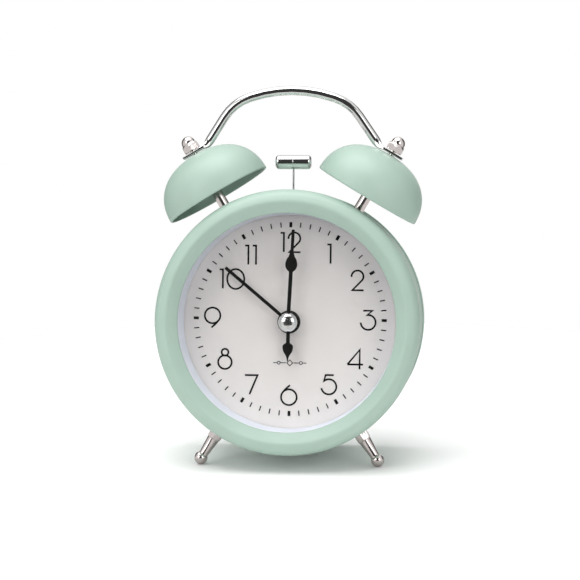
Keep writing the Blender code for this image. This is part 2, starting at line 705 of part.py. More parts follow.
def step_train(case):
    centre = place("centre_wheel", prism(gear_outline(40, CENTRE_MODULE, 90, pointed=True),
                                         *CENTRE_LAYER), brass(), case)
    cut(centre, rod(ARBOR_RADIUS + 0.2, CENTRE_LAYER[0] - 1, CENTRE_LAYER[1] + 1))
    pivots = (PLATE_Y[0] + 0.3, BOX_Y[1] - 0.3)

    here = (THIRD_AT[0], 0, THIRD_AT[1])
    third = place("third_wheel", prism(gear_outline(40, THIRD_MODULE, 0, pointed=True), *THIRD_LAYER),
                  white_plastic(), case, here)
    pinion = gear_outline(10, CENTRE_MODULE, -90, gap=True, pointed=True)
    add(third, prism(pinion, CENTRE_LAYER[0], THIRD_LAYER[0] + 0.3), here)
    add(third, rod(TRAIN_ARBOR_RADIUS, *pivots, segments=8), here)

    here = (INTERMEDIATE_AT[0], 0, INTERMEDIATE_AT[1])
    wheel = gear_outline(30, ROTOR_MODULE, 90, pointed=True)
    inter = place("intermediate_wheel", prism(wheel, *ROTOR_LAYER), white_plastic(), case, here)
    pinion = gear_outline(8, THIRD_MODULE, 180, gap=True, pointed=True)
    add(inter, prism(pinion, THIRD_LAYER[0], ROTOR_LAYER[0] + 0.3), here)
    add(inter, rod(TRAIN_ARBOR_RADIUS, *pivots, segments=8), here)

    here = (ROTOR_AT[0], 0, ROTOR_AT[1])
    pinion = gear_outline(10, ROTOR_MODULE, -90, gap=True, pointed=True)
    rotor = place("rotor", prism(pinion, ROTOR_LAYER[0], MAGNET_Y[0] + 0.3), dark_plastic(), case, here)
    add(rotor, rod(MAGNET_RADIUS, *MAGNET_Y, segments=16), here)
    add(rotor, rod(TRAIN_ARBOR_RADIUS, *pivots, segments=8), here)


def stator_and_coil(case):
    middle_z = ROTOR_AT[1]
    half = 4.4
    outline = [(-18.5, middle_z - half), (16.8, middle_z - half), (16.8, middle_z + half),
               (-18.5, middle_z + half)]
    stator = place("stator", prism(outline, *STATOR_Y), steel(), case)
    rotor_hole = rod(MAGNET_RADIUS + 0.5, STATOR_Y[0] - 1, STATOR_Y[1] + 1, segments=20)
    cut(stator, rotor_hole, (ROTOR_AT[0], 0, middle_z))
    window = COIL_RADIUS + 0.4
    core = 0.8
    for side in (-1, 1):
        low, high = sorted((side * core, side * window))
        cut(stator, box((COIL_X[0] - 0.5, STATOR_Y[0] - 1, middle_z + low),
                        (COIL_X[1] + 0.5, STATOR_Y[1] + 1, middle_z + high)))
    middle_y = sum(STATOR_Y) / 2
    winding = tube(1.25, COIL_RADIUS, *COIL_X, axis="X", segments=16)
    place("coil", winding, copper(), case, (0, middle_y, middle_z))


def movement_box(case):
    plate = place("movement_front_plate",
                  prism(rounded_box(BOX_X + 5.4, -4.0, 12.0, 2.0), *PLATE_Y), white_plastic(), case)
    add(plate, prism(rounded_box(BOX_X, *BOX_Z, 2.5), *PLATE_Y))
    cut(plate, rod(ALARM_PIPE[1] + 0.25, PLATE_Y[0] - 1, PLATE_Y[1] + 1, segments=16))
    housing = place("movement_housing", prism(rounded_box(BOX_X, *BOX_Z, 2.5), *BOX_Y),
                    white_plastic(), case)
    inner = prism(rounded_box(BOX_X - BOX_WALL, BOX_Z[0] + BOX_WALL, BOX_Z[1] - BOX_WALL, 1.5),
                  BOX_Y[0] - 1, BOX_Y[1] - BOX_WALL)
    cut(housing, inner)
    for x, z in (THIRD_AT, INTERMEDIATE_AT, ROTOR_AT):
        for body, y in ((plate, PLATE_Y), (housing, (BOX_Y[1] - BOX_WALL, BOX_Y[1]))):
            cut(body, rod(TRAIN_ARBOR_RADIUS + 0.2, y[0] - 1, y[1] + 1, segments=8), (x, 0, z))
    for side in (-1, 1):
        cut(plate, rod(1.3, PLATE_Y[0] - 1, PLATE_Y[1] + 1), (side * KNOB_DISTANCE, 0, 0))
        cut(housing, rod(1.3, BOX_Y[1] - 3, BOX_Y[1] + 1), (side * KNOB_DISTANCE, 0, 0))
        spot = (side * (BOX_X + 3.2), 0, 4.0)
        cut(plate, rod(SCREW_RADIUS + GAP, PLATE_Y[0] - 1, PLATE_Y[1] + 1, segments=8), spot)
        head_y = PLATE_Y[1] + GAP
        profile = [(0, CARRIER_Y[0] + 0.1), (SCREW_RADIUS, CARRIER_Y[0] + 0.1), (SCREW_RADIUS, head_y),
                   (1.7, head_y), (1.4, head_y + 1.0), (0, head_y + 1.0)]
        name = "movement_screw_left" if side < 0 else "movement_screw_right"
        place(name, turned(profile, segments=12), steel(), case, spot)


def electronics(case):
    board_y = (25.4, 26.4)
    board = prism([(-22.5, -11.0), (22.5, -11.0), (22.5, -3.5), (-22.5, -3.5)], *board_y)
    place("circuit_board", board, board_green(), case)
    crystal = rod(1.0, -3.0, 3.0, "X", 10)
    place("quartz_crystal", crystal, steel(), case, (-12.0, board_y[0] - GAP - 1.0, -7.0))
    leaf = box((-1.2, 0, -3.5), (1.2, 0.4, 3.5))
    place("alarm_contact_spring", leaf, brass(), case, (8.0, board_y[0] - GAP - 0.4, -7.2))


def battery(case):
    where = (BATTERY_X, BATTERY_Y, BATTERY_Z)
    half = BATTERY_HALF
    profile = [(0, -half), (2.6, -half), (2.6, -half + 1.2), (6.6, -half + 1.2),
               (BATTERY_RADIUS, -half + 1.7), (BATTERY_RADIUS, half - 0.5), (6.6, half), (0, half)]
    place("battery", turned(profile, "X", 20), battery_wrap(), case, where)
    plate_x = -half - GAP - 0.3
    plate = box((plate_x, -4.0, -5.0), (plate_x + 0.3, 4.0, 5.0))
    place("battery_plate_contact", plate, nickel(), case, where)
    battery_spring(case, where)


def battery_spring(case, where):
    """A conical coil pressed between the compartment's end and the battery's flat end."""
    turns, wire, points_per_turn, sides = 2.25, 0.22, 9, 5
    start_x, end_x = BATTERY_HALF + GAP + wire, WELL_X - BATTERY_X - GAP - wire
    count = round(turns * points_per_turn) + 1
    rings = []
    for i in range(count):
        share = i / (count - 1)
        angle = math.tau * turns * share
        radius = 1.6 + 2.6 * share
        x = start_x + (end_x - start_x) * share
        middle = Vector((x, radius * math.cos(angle), radius * math.sin(angle)))
        outward = Vector((0, math.cos(angle), math.sin(angle)))
        ring = []
        for k in range(sides):
            turn = math.tau * k / sides
            ring.append(middle + (outward * math.cos(turn) + AXES["X"] * math.sin(turn)) * wire)
        rings.append(ring)
    place("battery_spring", loft(rings), nickel(), case, where)


# ---------------------------------------------------------------- bell hammer

def hammer(case):
    half = HAMMER_HEAD_LENGTH / 2
    r = HAMMER_HEAD_RADIUS
    arm = HAMMER_HEAD_Z - HAMMER_PIVOT_Z
    pivot = (0, HAMMER_Y, HAMMER_PIVOT_Z)
    profile = [(0, -half), (r - 0.8, -half), (r, -half + 0.8), (r, -0.15), (r - 0.15, 0), (r, 0.15),
               (r, half - 0.8), (r - 0.8, half), (0, half)]
    middle = (0, HAMMER_Y, HAMMER_HEAD_Z)
    head = place("hammer_head", turned(profile, "X", 16), chrome(), case, middle)
    cut(head, rod(HAMMER_ROD_RADIUS + 0.15, -r - 1, -r + 1.6, "Z", 8), middle)
    place("hammer_rod", rod(HAMMER_ROD_RADIUS, 1.1, arm - r + 1.2, "Z", 8), steel(), case, pivot)

    drop = HAMMER_PIVOT_Z - MOTOR_Z
    sway = drop * math.sin(math.radians(HAMMER_SWING))
    fork_in = CAM_THROW + CAM_PIN_RADIUS + sway + GAP  # clears the crank at every pair of angles
    fork_out = fork_in + 1.3
    outline = [(1.7, 0.6), (fork_out, -drop + 4.6), (fork_out, -drop - 3.2), (fork_in, -drop - 3.2),
               (fork_in, -drop + 3.6), (-fork_in, -drop + 3.6), (-fork_in, -drop - 3.2),
               (-fork_out, -drop - 3.2), (-fork_out, -drop + 4.6), (-1.7, 0.6), (-0.9, 1.5), (0.9, 1.5)]
    thick = LEVER_THICKNESS / 2
    lever = place("hammer_lever", prism(outline, -thick, thick), steel(), case, pivot)
    cut(lever, rod(0.8, -2, 2), pivot)
    cut(lever, rod(HAMMER_ROD_RADIUS + 0.12, 0.95, 3, "Z", 8), pivot)
    pin_end = MOTOR_Y[0] - HAMMER_Y
    pin = [(0, -2.0), (0.6, -2.0), (0.6, pin_end), (0, pin_end)]
    place("hammer_pivot_pin", turned(pin, segments=12), steel(), case, pivot)


def bell_motor(case):
    front, back = MOTOR_Y
    where = (0, 0, MOTOR_Z)
    shaft_hole = [(0, front + 3.0), (1.1, front + 3.0), (1.1, front)]
    can = [*shaft_hole, (MOTOR_RADIUS, front), (MOTOR_RADIUS, back), (0, back)]
    place("bell_motor", turned(can, segments=24), steel(), case, where)
    cam_y = (HAMMER_Y - LEVER_THICKNESS / 2, HAMMER_Y + LEVER_THICKNESS / 2)
    disc_y = (cam_y[1] + GAP, cam_y[1] + GAP + 0.9)
    cam = place("motor_cam", rod(CAM_THROW + CAM_PIN_RADIUS, *disc_y, segments=16), brass(), case, where)
    add(cam, rod(0.75, disc_y[0] + 0.2, front + 2.6, segments=10), where)
    add(cam, rod(CAM_PIN_RADIUS, cam_y[0], disc_y[0] + 0.3, segments=12), (0, 0, MOTOR_Z - CAM_THROW))


def motor_bracket(case):
    """A folded plate on the movement box that carries the motor and the hammer's pin."""
    low = BOX_Z[1] + GAP
    face = (MOTOR_Y[0] - GAP - 0.9, MOTOR_Y[0] - GAP)
    outline = [(-8, low), (8, low), (8, 36), (3, 41.6), (-3, 41.6), (-8, 36)]
    bracket = place("motor_bracket", prism(outline, *face), steel(), case)
    add(bracket, box((-8, face[0] - 5.0, low), (8, face[0] + 0.4, low + 0.9)))
    cut(bracket, rod(1.4, face[0] - 1, face[1] + 1), (0, 0, MOTOR_Z))
    cut(bracket, rod(0.8, face[0] - 1, face[1] + 1), (0, 0, HAMMER_PIVOT_Z))


# ---------------------------------------------------------------- assembly

def lean_angle():
    """The lean at which the ball feet and the rear cover's rim stand on one floor, in radians."""
    foot_z = BALL_DISTANCE * math.cos(math.radians(FOOT_ANGLE))
    rim_drop = -COVER_RADIUS - GAP
    lean = 0.1
    for _ in range(20):
        rise = (rim_drop - foot_z) * math.cos(lean) + BALL_RADIUS
        lean = math.asin(rise / (COVER_BACK_Y - 0.6 - FOOT_Y))
    return lean


def floor_height(lean):
    """The floor's height below the clock's axis once the case leans, as a negative number."""
    foot_z = BALL_DISTANCE * math.cos(math.radians(FOOT_ANGLE))
    return foot_z * math.cos(lean) - FOOT_Y * math.sin(lean) - BALL_RADIUS


def stand_on_origin(case):
    """Moves the case so that the whole clock's box is centred over the origin, with its base at zero."""
    bpy.context.view_layer.update()
    depsgraph = bpy.context.evaluated_depsgraph_get()
    points = []
    for obj in bpy.context.scene.objects:
        if obj.type == "MESH" and not obj.hide_render:
            shape = obj.evaluated_get(depsgraph)
            points += [shape.matrix_world @ vert.co for vert in shape.data.vertices]
    low = Vector([min(p[i] for p in points) for i in range(3)])
    high = Vector([max(p[i] for p in points) for i in range(3)])
    case.location -= Vector(((low.x + high.x) / 2, (low.y + high.y) / 2, low.z))


def main():
    for obj in list(bpy.data.objects):
        bpy.data.objects.remove(obj)
    lean = lean_angle()
    case = bpy.data.objects.new("case_frame", None)
    bpy.context.scene.collection.objects.link(case)
    case.rotation_euler = (-lean, 0, 0)
    bezel(case)
    drum(case)
    glass_and_dial(case)
    dial_carrier(case)
    rest_pad(rear_cover(case), case, lean, floor_height(lean))
    rear_screws(case)
    battery_door(case)
    knobs(case)
    alarm_switch(case)
    bells(case)
    handle(case)
    feet(case)
    hands(case)
    arbor_and_pipes(case)
    set_wheels(case)
    step_train(case)
    stator_and_coil(case)
    movement_box(case)
    electronics(case)
    battery(case)
    hammer(case)
    bell_motor(case)
    motor_bracket(case)
    stand_on_origin(case)


main()
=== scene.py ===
"""Looks of the twin-bell alarm clock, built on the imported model.

Lengths are in millimetres and angles in degrees, in the case's own axes, as in the CAD source:
x to the right seen from the front, y to the rear along the hands' axis, z up, with the origin on
that axis. CASE carries them into the world, in metres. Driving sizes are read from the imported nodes.
"""

import json
import math

import bmesh
import bpy
from mathutils import Matrix, Vector

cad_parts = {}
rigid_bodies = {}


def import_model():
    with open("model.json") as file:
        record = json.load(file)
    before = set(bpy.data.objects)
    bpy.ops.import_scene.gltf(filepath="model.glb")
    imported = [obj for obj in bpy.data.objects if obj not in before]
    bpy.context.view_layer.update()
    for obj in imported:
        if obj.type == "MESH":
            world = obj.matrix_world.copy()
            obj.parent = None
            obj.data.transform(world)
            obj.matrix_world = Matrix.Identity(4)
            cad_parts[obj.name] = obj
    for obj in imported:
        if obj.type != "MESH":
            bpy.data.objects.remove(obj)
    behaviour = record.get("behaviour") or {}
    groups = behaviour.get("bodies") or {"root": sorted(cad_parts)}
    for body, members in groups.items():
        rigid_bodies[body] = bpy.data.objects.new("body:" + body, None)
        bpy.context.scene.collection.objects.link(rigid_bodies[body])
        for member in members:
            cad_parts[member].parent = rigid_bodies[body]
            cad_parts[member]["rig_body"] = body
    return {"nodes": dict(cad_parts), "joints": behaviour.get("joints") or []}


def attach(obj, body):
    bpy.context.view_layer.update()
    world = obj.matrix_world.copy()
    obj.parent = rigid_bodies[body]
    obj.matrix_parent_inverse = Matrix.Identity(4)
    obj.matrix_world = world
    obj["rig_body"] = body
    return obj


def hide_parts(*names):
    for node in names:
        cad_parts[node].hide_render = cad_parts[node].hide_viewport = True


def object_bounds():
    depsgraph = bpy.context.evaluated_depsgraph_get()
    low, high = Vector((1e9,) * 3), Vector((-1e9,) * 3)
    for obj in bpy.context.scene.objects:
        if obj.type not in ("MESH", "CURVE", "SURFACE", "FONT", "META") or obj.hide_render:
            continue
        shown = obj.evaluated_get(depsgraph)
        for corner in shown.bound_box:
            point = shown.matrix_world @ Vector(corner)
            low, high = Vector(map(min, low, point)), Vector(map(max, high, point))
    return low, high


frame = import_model()
cad_low, cad_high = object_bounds()

MM = 0.001
AXES = {"X": Vector((1, 0, 0)), "Y": Vector((0, 1, 0)), "Z": Vector((0, 0, 1))}
LARGE_ROUND = 180  # segments of the case's rings
FINE_ROUND = 96  # segments of the nuts, the feet and the battery
SMALL_ROUND = 64  # segments of smaller turned parts

# Camera, in front of the clock and a little to the right and above
VIEW_AZIMUTH = 6.38
VIEW_ELEVATION = 11.04
VIEW_ROLL = -0.66
VIEW_DISTANCE = 832.0
AIM_RIGHT = 1.13
AIM_UP = 11.06
FOCAL_LENGTH = 153.2

# Studio: the floor's radius and the lamps' places and sizes in metres, their power in watts
FLOOR_RADIUS = 0.24
FLOOR_GLOW = 0.03
FLOOR_IN_GLOSS = (0.55, 0.54, 0.54)
WORLD_STRENGTH = 0.85
SIDE_LEVEL = 0.85
FRONT_LEVEL = 0.06
CORNER_LEVEL = 0.15
LAMP_TARGET = (0, 0, 0.06)
LAMPS = (  # name, place, width and height, power, seen in glossy surfaces
    ("overhead", (-0.15, -0.05, 1.1), (1.0, 1.0), 10.8, True),
    ("front_left", (-0.75, -1.0, 0.65), (0.7, 0.7), 3.3, True),
    ("front_right", (0.78, -1.0, 0.6), (0.7, 0.7), 2.5, True),
    ("fill", (-0.1, -1.2, 0.08), (0.9, 0.9), 3.0, False),
)

# Dial print
PRINT_CENTRE = (0.1, 0.85)
PRINT_TURN = 0.27
PRINT_HEIGHT = 0.05
TICK_RADIUS = 31.85
TICK_LENGTH = 1.75
HOUR_TICK_WIDTH = 0.95
MINUTE_TICK_WIDTH = 0.4
NUMERAL_STROKE = 0.62
ORNAMENT_STROKE = 0.28
ORNAMENT_CENTRE = (0.1, -14.75)

# Bells: their sides are fuller than an ellipse, and their rims a little wider than in the CAD model
BELL_FULLNESS = 0.875
BELL_FLARE = 0.35
BELL_WALL = 0.9

# Handle: straps as in the CAD source, and a rod that is a little stouter and flatter on top
STRAP_THICKNESS = 1.0
STRAP_WIDTH = 5.6
STRAP_OUTER = 4.0
STRAP_INNER = 5.2
ROD_RADIUS = 1.6
HANDLE_CROWN = (7.25, 79.0)
HANDLE_SHOULDER = (20.2, 74.7)
HANDLE_SHIFT = -0.4
HANDLE_BENDS = (3.0, 16.0, 45.0, 45.0, 16.0, 3.0)
FLAT_RUN = 6.8
BLEND_RUN = 4.4

# Back: the knobs' distance from the middle, the door's ribs, and the battery and its compartment
KNOB_X = 12.0
RIB_HEIGHT = 0.5
WELL_HALF_WIDTH = 27.1
CELL_HALF_LENGTH = 25.25


# ---------------- reading the frame

def case_frame():
    """The case's own axes in the world, from the minute hand's hinge."""
    hinge = next(joint for joint in frame["joints"] if joint["name"] == "minute_turn")
    depth = Vector(hinge["axis"])
    lean = math.atan2(-depth.z, depth.y)
    return Matrix.Translation(hinge["pos_m"]) @ Matrix.Rotation(-lean, 4, "X")


CASE = case_frame()


def case_points(node):
    into_case = CASE.inverted()
    return [into_case @ vert.co / MM for vert in frame["nodes"][node].data.vertices]


def span(node, turn=0.0):
    """Lowest and highest corner of a node in the case's axes, after it is turned back upright."""
    upright = Matrix.Rotation(-math.radians(turn), 3, "Y")
    points = [upright @ point for point in case_points(node)]
    low = Vector([min(point[i] for point in points) for i in range(3)])
    high = Vector([max(point[i] for point in points) for i in range(3)])
    return low, high


def middle(node, turn=0.0):
    low, high = span(node, turn)
    return (low + high) / 2


def bearing(node):
    """The angle from straight up to a symmetric node, clockwise seen from the front."""
    points = case_points(node)
    return math.degrees(math.atan2(sum(p.x for p in points), sum(p.z for p in points)))


# ---------------- outlines

def curve(start, control, end, steps=8):
    """Points on the parabola from start to end that leaves and arrives along the control's lines."""
    points = []
    for i in range(steps + 1):
        share = i / steps
        weights = ((1 - share) ** 2, 2 * share * (1 - share), share ** 2)
        points.append(tuple(sum(w * p[axis] for w, p in zip(weights, (start, control, end)))
                            for axis in (0, 1)))
    return points


def polar(radius, angle):
    """The point at a radius and an angle, counterclockwise from +u."""
    return radius * math.cos(math.radians(angle)), radius * math.sin(math.radians(angle))


def arc(centre, radius, start, end, steps=0):
    """Points on an arc, angles counterclockwise from +u; radius is one number or one for each axis."""
    wide, tall = radius if isinstance(radius, tuple) else (radius, radius)
    steps = steps or max(2, math.ceil(abs(end - start) / 7.5))
    directions = [polar(1, start + (end - start) * i / steps) for i in range(steps + 1)]
    return [(centre[0] + wide * u, centre[1] + tall * v) for u, v in directions]


def circle(radius, count=SMALL_ROUND, centre=(0, 0)):
    return arc(centre, radius, 0, 360, count)[:-1]


def rounded(corners, closed=True):
    """The outline through (u, v, radius) corners, each rounded by an arc of its radius."""
    outline = []
    for i, (u, v, radius) in enumerate(corners):
        corner = Vector((u, v))
        if radius == 0 or (not closed and i in (0, len(corners) - 1)):
            outline.append((u, v))
            continue
        before = Vector(corners[i - 1][:2])
        after = Vector(corners[(i + 1) % len(corners)][:2])
        into = (corner - before).normalized()
        out = (after - corner).normalized()
        turn = math.acos(max(-1.0, min(1.0, into.dot(out))))
        start = corner - into * radius * math.tan(turn / 2)
        inward = (out - into * into.dot(out)).normalized() * radius
        steps = max(3, math.ceil(math.degrees(turn) / 12))
        for k in range(steps + 1):
            angle = turn * k / steps
            point = start + inward - inward * math.cos(angle) + into * radius * math.sin(angle)
            outline.append(tuple(point))
    return outline


def rectangle(low, high, radius):
    corners = [(low[0], low[1]), (high[0], low[1]), (high[0], high[1]), (low[0], high[1])]
    return rounded([(u, v, radius) for u, v in corners])


def shifted(outline, du, dv):
    return [(u + du, v + dv) for u, v in outline]


# ---------------- solids

def at(axis, u, v, w):
    """The point with the in-plane coordinates u, v and the coordinate w along the axis."""
    return {"X": (w, u, v), "Y": (u, w, v), "Z": (u, v, w)}[axis]


def turned(profile, axis="Y", segments=SMALL_ROUND):
    """A solid of revolution from (radius, height) points; it closes on itself or on the axis."""
    points = [p for p, q in zip(profile, [None, *profile]) if q is None or math.dist(p, q) > 1e-4]
    bm = bmesh.new()
    verts = [bm.verts.new(at(axis, r, 0, h)) for r, h in points]
    edges = [bm.edges.new(pair) for pair in zip(verts, verts[1:])]
    if points[0][0] > 0:
        edges.append(bm.edges.new((verts[-1], verts[0])))
    bmesh.ops.spin(bm, geom=verts + edges, cent=(0, 0, 0), axis=AXES[axis], angle=math.tau,
                   steps=segments, use_merge=True)
    bmesh.ops.remove_doubles(bm, verts=bm.verts, dist=1e-4)
    return bm


def plate(outlines, low, high, axis="Y"):
    """A flat sheet with holes: the first outline is its edge, the others are its holes."""
    bm = bmesh.new()
    edges = []
    for outline in outlines:
        verts = [bm.verts.new(at(axis, u, v, low)) for u, v in outline]
        edges += [bm.edges.new((verts[i - 1], verts[i])) for i in range(len(verts))]
    if len(outlines) == 1:
        bm.faces.new(verts)
    else:
        bmesh.ops.triangle_fill(bm, edges=edges, use_beauty=True)
    grown = bmesh.ops.extrude_face_region(bm, geom=bm.faces[:])["geom"]
    lifted = [item for item in grown if isinstance(item, bmesh.types.BMVert)]
    bmesh.ops.translate(bm, verts=lifted, vec=AXES[axis] * (high - low))
    return bm


def block(low, high, radius=0.0, axis="Y"):
    """A box with round corners about one axis."""
    u, v, w = {"X": (1, 2, 0), "Y": (0, 2, 1), "Z": (0, 1, 2)}[axis]
    return plate([rectangle((low[u], low[v]), (high[u], high[v]), radius)], low[w], high[w], axis)


def loft(rings):
    """Rings of equally many points, bridged in turn and capped at both ends."""
    bm = bmesh.new()
    loops = [[bm.verts.new(point) for point in ring] for ring in rings]
    count = len(loops[0])
    for low, high in zip(loops, loops[1:]):
        for i in range(count):
            j = (i + 1) % count
            bm.faces.new((low[i], low[j], high[j], high[i]))
    bm.faces.new(loops[0])
    bm.faces.new(loops[-1])
    return bm


def joined(*solids):
    """One mesh that holds several solids."""
    whole = solids[0]
    for solid in solids[1:]:
        carrier = bpy.data.meshes.new("carrier")
        solid.to_mesh(carrier)
        solid.free()
        whole.from_mesh(carrier)
        bpy.data.meshes.remove(carrier)
    return whole


def moved(bm, x=0.0, y=0.0, z=0.0, turn=0.0):
    """Turns a solid about the depth axis, then moves it."""
    bm.transform(Matrix.Translation((x, y, z)) @ Matrix.Rotation(math.radians(turn), 4, "Y"))
    return bm


def round_ring(radius, height):
    return [(u, v, height) for u, v in circle(radius, FINE_ROUND)]


def hexagon_ring(flats, height, limit=1e9):
    """A hexagon across the Z axis, cut by a circle of the limit radius, as a chamfered nut is."""
    ring = []
    for i in range(FINE_ROUND):
        angle = 360 * i / FINE_ROUND
        from_flat = (angle + 30) % 60 - 30
        radius = min(flats / 2 / math.cos(math.radians(from_flat)), limit)
        ring.append((*polar(radius, angle), height))
    return ring


def hexagon_taper(flats, end, length, radius, steps):
    """Hexagon rings up to the height end, cut back over a length until they are round."""
    corner = flats / 2 / math.cos(math.radians(30))
    rings = []
    for step in range(steps + 1):
        share = step / steps
        height = end - length * (1 - share)
        rings.append(hexagon_ring(flats, height, corner + (radius - corner) * share))
    return rings


def ball_rings(radius, centre, lifts):
    """Rings of a ball about the Z axis, at the given angles above its equator."""
    return [round_ring(size, centre + height) for size, height in (polar(radius, a) for a in lifts)]


def add(name, data):
    """A new object in the scene."""
    made = bpy.data.objects.new(name, data)
    bpy.context.scene.collection.objects.link(made)
    return made


def add_mesh(name, bm):
    """A new object in the scene that takes over a solid."""
    mesh = bpy.data.meshes.new(name)
    bm.to_mesh(mesh)
    bm.free()
    return add(name, mesh)


def place(name, bm, look, node, where=(0, 0, 0), turn=0.0, bevel=0.0, stands_for=(), sharp=32):
    """Makes a piece in the case's axes that rides with a CAD node's body and replaces nodes."""
    bmesh.ops.recalc_face_normals(bm, faces=bm.faces)
    bm.transform(Matrix.Scale(MM, 4))
    piece = add_mesh(name, bm)
    piece.data.materials.append(LOOKS[look])
    piece.data.shade_smooth()
    piece.data.set_sharp_from_angle(angle=math.radians(sharp))
    upright = Matrix.Translation(Vector(where) * MM) @ Matrix.Rotation(math.radians(turn), 4, "Y")
    piece.matrix_world = CASE @ upright
    if bevel:
        soften = piece.modifiers.new("soften", "BEVEL")
        soften.width = bevel * MM
        soften.segments = 3
        soften.limit_method = "ANGLE"
        soften.angle_limit = math.radians(40)
        soften.harden_normals = True
    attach(piece, frame["nodes"][node]["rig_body"])
    if stands_for:
        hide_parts(*stands_for)
    return piece


def stand_in(node, bm, look, where=(0, 0, 0), turn=0.0, bevel=0.0, sharp=32):
    """A finer piece for one CAD node."""
    return place(f"{node}_fine", bm, look, node, where, turn, bevel, [node], sharp)


def radial_stand_in(node, bm, look, turn, sharp=32):
    """A finer piece for a node that points away from the hands' axis, built upright along Z."""
    stand_in(node, bm, look, (0, middle(node, turn).y, 0), turn, sharp=sharp)


# ---------------- materials

def node_of(tree, kind, **values):
    """A new shader node with its settings and unlinked inputs."""
    made = tree.nodes.new(kind)
    for key, value in values.items():
        if hasattr(made, key):
            setattr(made, key, value)
        else:
            made.inputs[key.replace("_", " ").title()].default_value = value
    return made


def speckle(tree, coordinates, size, detail=2.0, stretch=(1, 1, 1)):
    """Noise whose grains are about size millimetres wide."""
    spread = node_of(tree, "ShaderNodeMapping", scale=stretch)
    noise = node_of(tree, "ShaderNodeTexNoise", scale=1 / (size * MM), detail=detail)
    tree.links.new(coordinates, spread.inputs["Vector"])
    tree.links.new(spread.outputs["Vector"], noise.inputs["Vector"])
    return noise.outputs["Fac"]


def mapped(tree, value, low, high):
    """Spreads noise, which lies mostly from 0.3 to 0.7, over a new range."""
    ramp = node_of(tree, "ShaderNodeMapRange", from_min=0.3, from_max=0.7, to_min=low, to_max=high)
    tree.links.new(value, ramp.inputs["Value"])
    return ramp.outputs["Result"]


def mixed(tree, share, first, second):
    """A colour between two, each a colour or an output."""
    mix = node_of(tree, "ShaderNodeMix", data_type="RGBA")
    tree.links.new(share, mix.inputs["Factor"])
    for socket, colour in ((mix.inputs[6], first), (mix.inputs[7], second)):
        if isinstance(colour, tuple):
            socket.default_value = (*colour, 1)
        else:
            tree.links.new(colour, socket)
    return mix.outputs[2]


def new_look(name):
    """A new material, its tree and its shader."""
    look = bpy.data.materials.new(name)
    look.use_nodes = True
    return look, look.node_tree, look.node_tree.nodes["Principled BSDF"]


def finish(name, colour, roughness, metallic=0.0, shade=0.04, patch=9.0, grain=0.5, relief=0.003,
           haze=0.04, stretch=(1, 1, 1), tint=(1.0, 1.0, 1.0), coat=0.0, specular=0.5):
    """A surface whose colour drifts over patches, with fine grain in its relief and its gloss."""
    look, tree, shader = new_look(name)
    place_on = node_of(tree, "ShaderNodeTexCoord").outputs["Object"]
    drift = mapped(tree, speckle(tree, place_on, patch, 3.0), 0.0, 1.0)
    dark = tuple(c * (1 - shade) * t for c, t in zip(colour, tint))
    light = tuple(min(1.0, c * (1 + shade)) for c in colour)
    tree.links.new(mixed(tree, drift, dark, light), shader.inputs["Base Color"])
    fine = speckle(tree, place_on, grain, 3.0, stretch)
    tree.links.new(mapped(tree, fine, max(0.02, roughness - haze), roughness + haze),
                   shader.inputs["Roughness"])
    bump = node_of(tree, "ShaderNodeBump", strength=1.0, distance=relief * MM)
    tree.links.new(fine, bump.inputs["Height"])
    tree.links.new(bump.outputs["Normal"], shader.inputs["Normal"])
    shader.inputs["Metallic"].default_value = metallic
    shader.inputs["Specular IOR Level"].default_value = specular
    if coat:
        shader.inputs["Coat Weight"].default_value = coat
        shader.inputs["Coat Roughness"].default_value = 0.12
    return look


def clear_lens():
    """Flat mineral glass that lets the light through to the dial."""
    look, tree, glass = new_look("clear_lens")
    glass.inputs["Base Color"].default_value = (1, 1, 1, 1)
    glass.inputs["Transmission Weight"].default_value = 1.0
    glass.inputs["IOR"].default_value = 1.45
    place_on = node_of(tree, "ShaderNodeTexCoord").outputs["Object"]
    smear = mapped(tree, speckle(tree, place_on, 14.0, 4.0), 0.0, 0.02)
    tree.links.new(smear, glass.inputs["Roughness"])
    path = node_of(tree, "ShaderNodeLightPath")
    clear = node_of(tree, "ShaderNodeBsdfTransparent")
    mix = node_of(tree, "ShaderNodeMixShader")
    tree.links.new(path.outputs["Is Shadow Ray"], mix.inputs["Fac"])
    tree.links.new(glass.outputs["BSDF"], mix.inputs[1])
    tree.links.new(clear.outputs["BSDF"], mix.inputs[2])
    tree.links.new(mix.outputs["Shader"], tree.nodes["Material Output"].inputs["Surface"])
    return look


def banded(look, axis, edges, colours):
    """Gives a look bands of colour between edges, in metres along one of its object's axes."""
    tree = look.node_tree
    shader = tree.nodes["Principled BSDF"]
    split = node_of(tree, "ShaderNodeSeparateXYZ")
    tree.links.new(node_of(tree, "ShaderNodeTexCoord").outputs["Object"], split.inputs["Vector"])
    base = shader.inputs["Base Color"].links[0].from_socket
    for edge, colour in zip(edges, colours):
        beyond = node_of(tree, "ShaderNodeMath", operation="GREATER_THAN")
        beyond.inputs[1].default_value = edge
        tree.links.new(split.outputs[axis], beyond.inputs[0])
        base = mixed(tree, beyond.outputs["Value"], base, colour)
    tree.links.new(base, shader.inputs["Base Color"])
    return look


def wound_copper():
    """Copper with the ridges of fine wire laid turn beside turn along X."""
    look = finish("copper_wire", (0.60, 0.27, 0.13), 0.34, 1.0, shade=0.10, patch=3.0)
    tree = look.node_tree
    pitch = 0.35 * MM
    wire = node_of(tree, "ShaderNodeTexWave", bands_direction="X", scale=1 / pitch / 2, distortion=0.6)
    tree.links.new(node_of(tree, "ShaderNodeTexCoord").outputs["Object"], wire.inputs["Vector"])
    bump = node_of(tree, "ShaderNodeBump", distance=0.04 * MM)
    tree.links.new(wire.outputs["Fac"], bump.inputs["Height"])
    tree.links.new(bump.outputs["Normal"], tree.nodes["Principled BSDF"].inputs["Normal"])
    return look


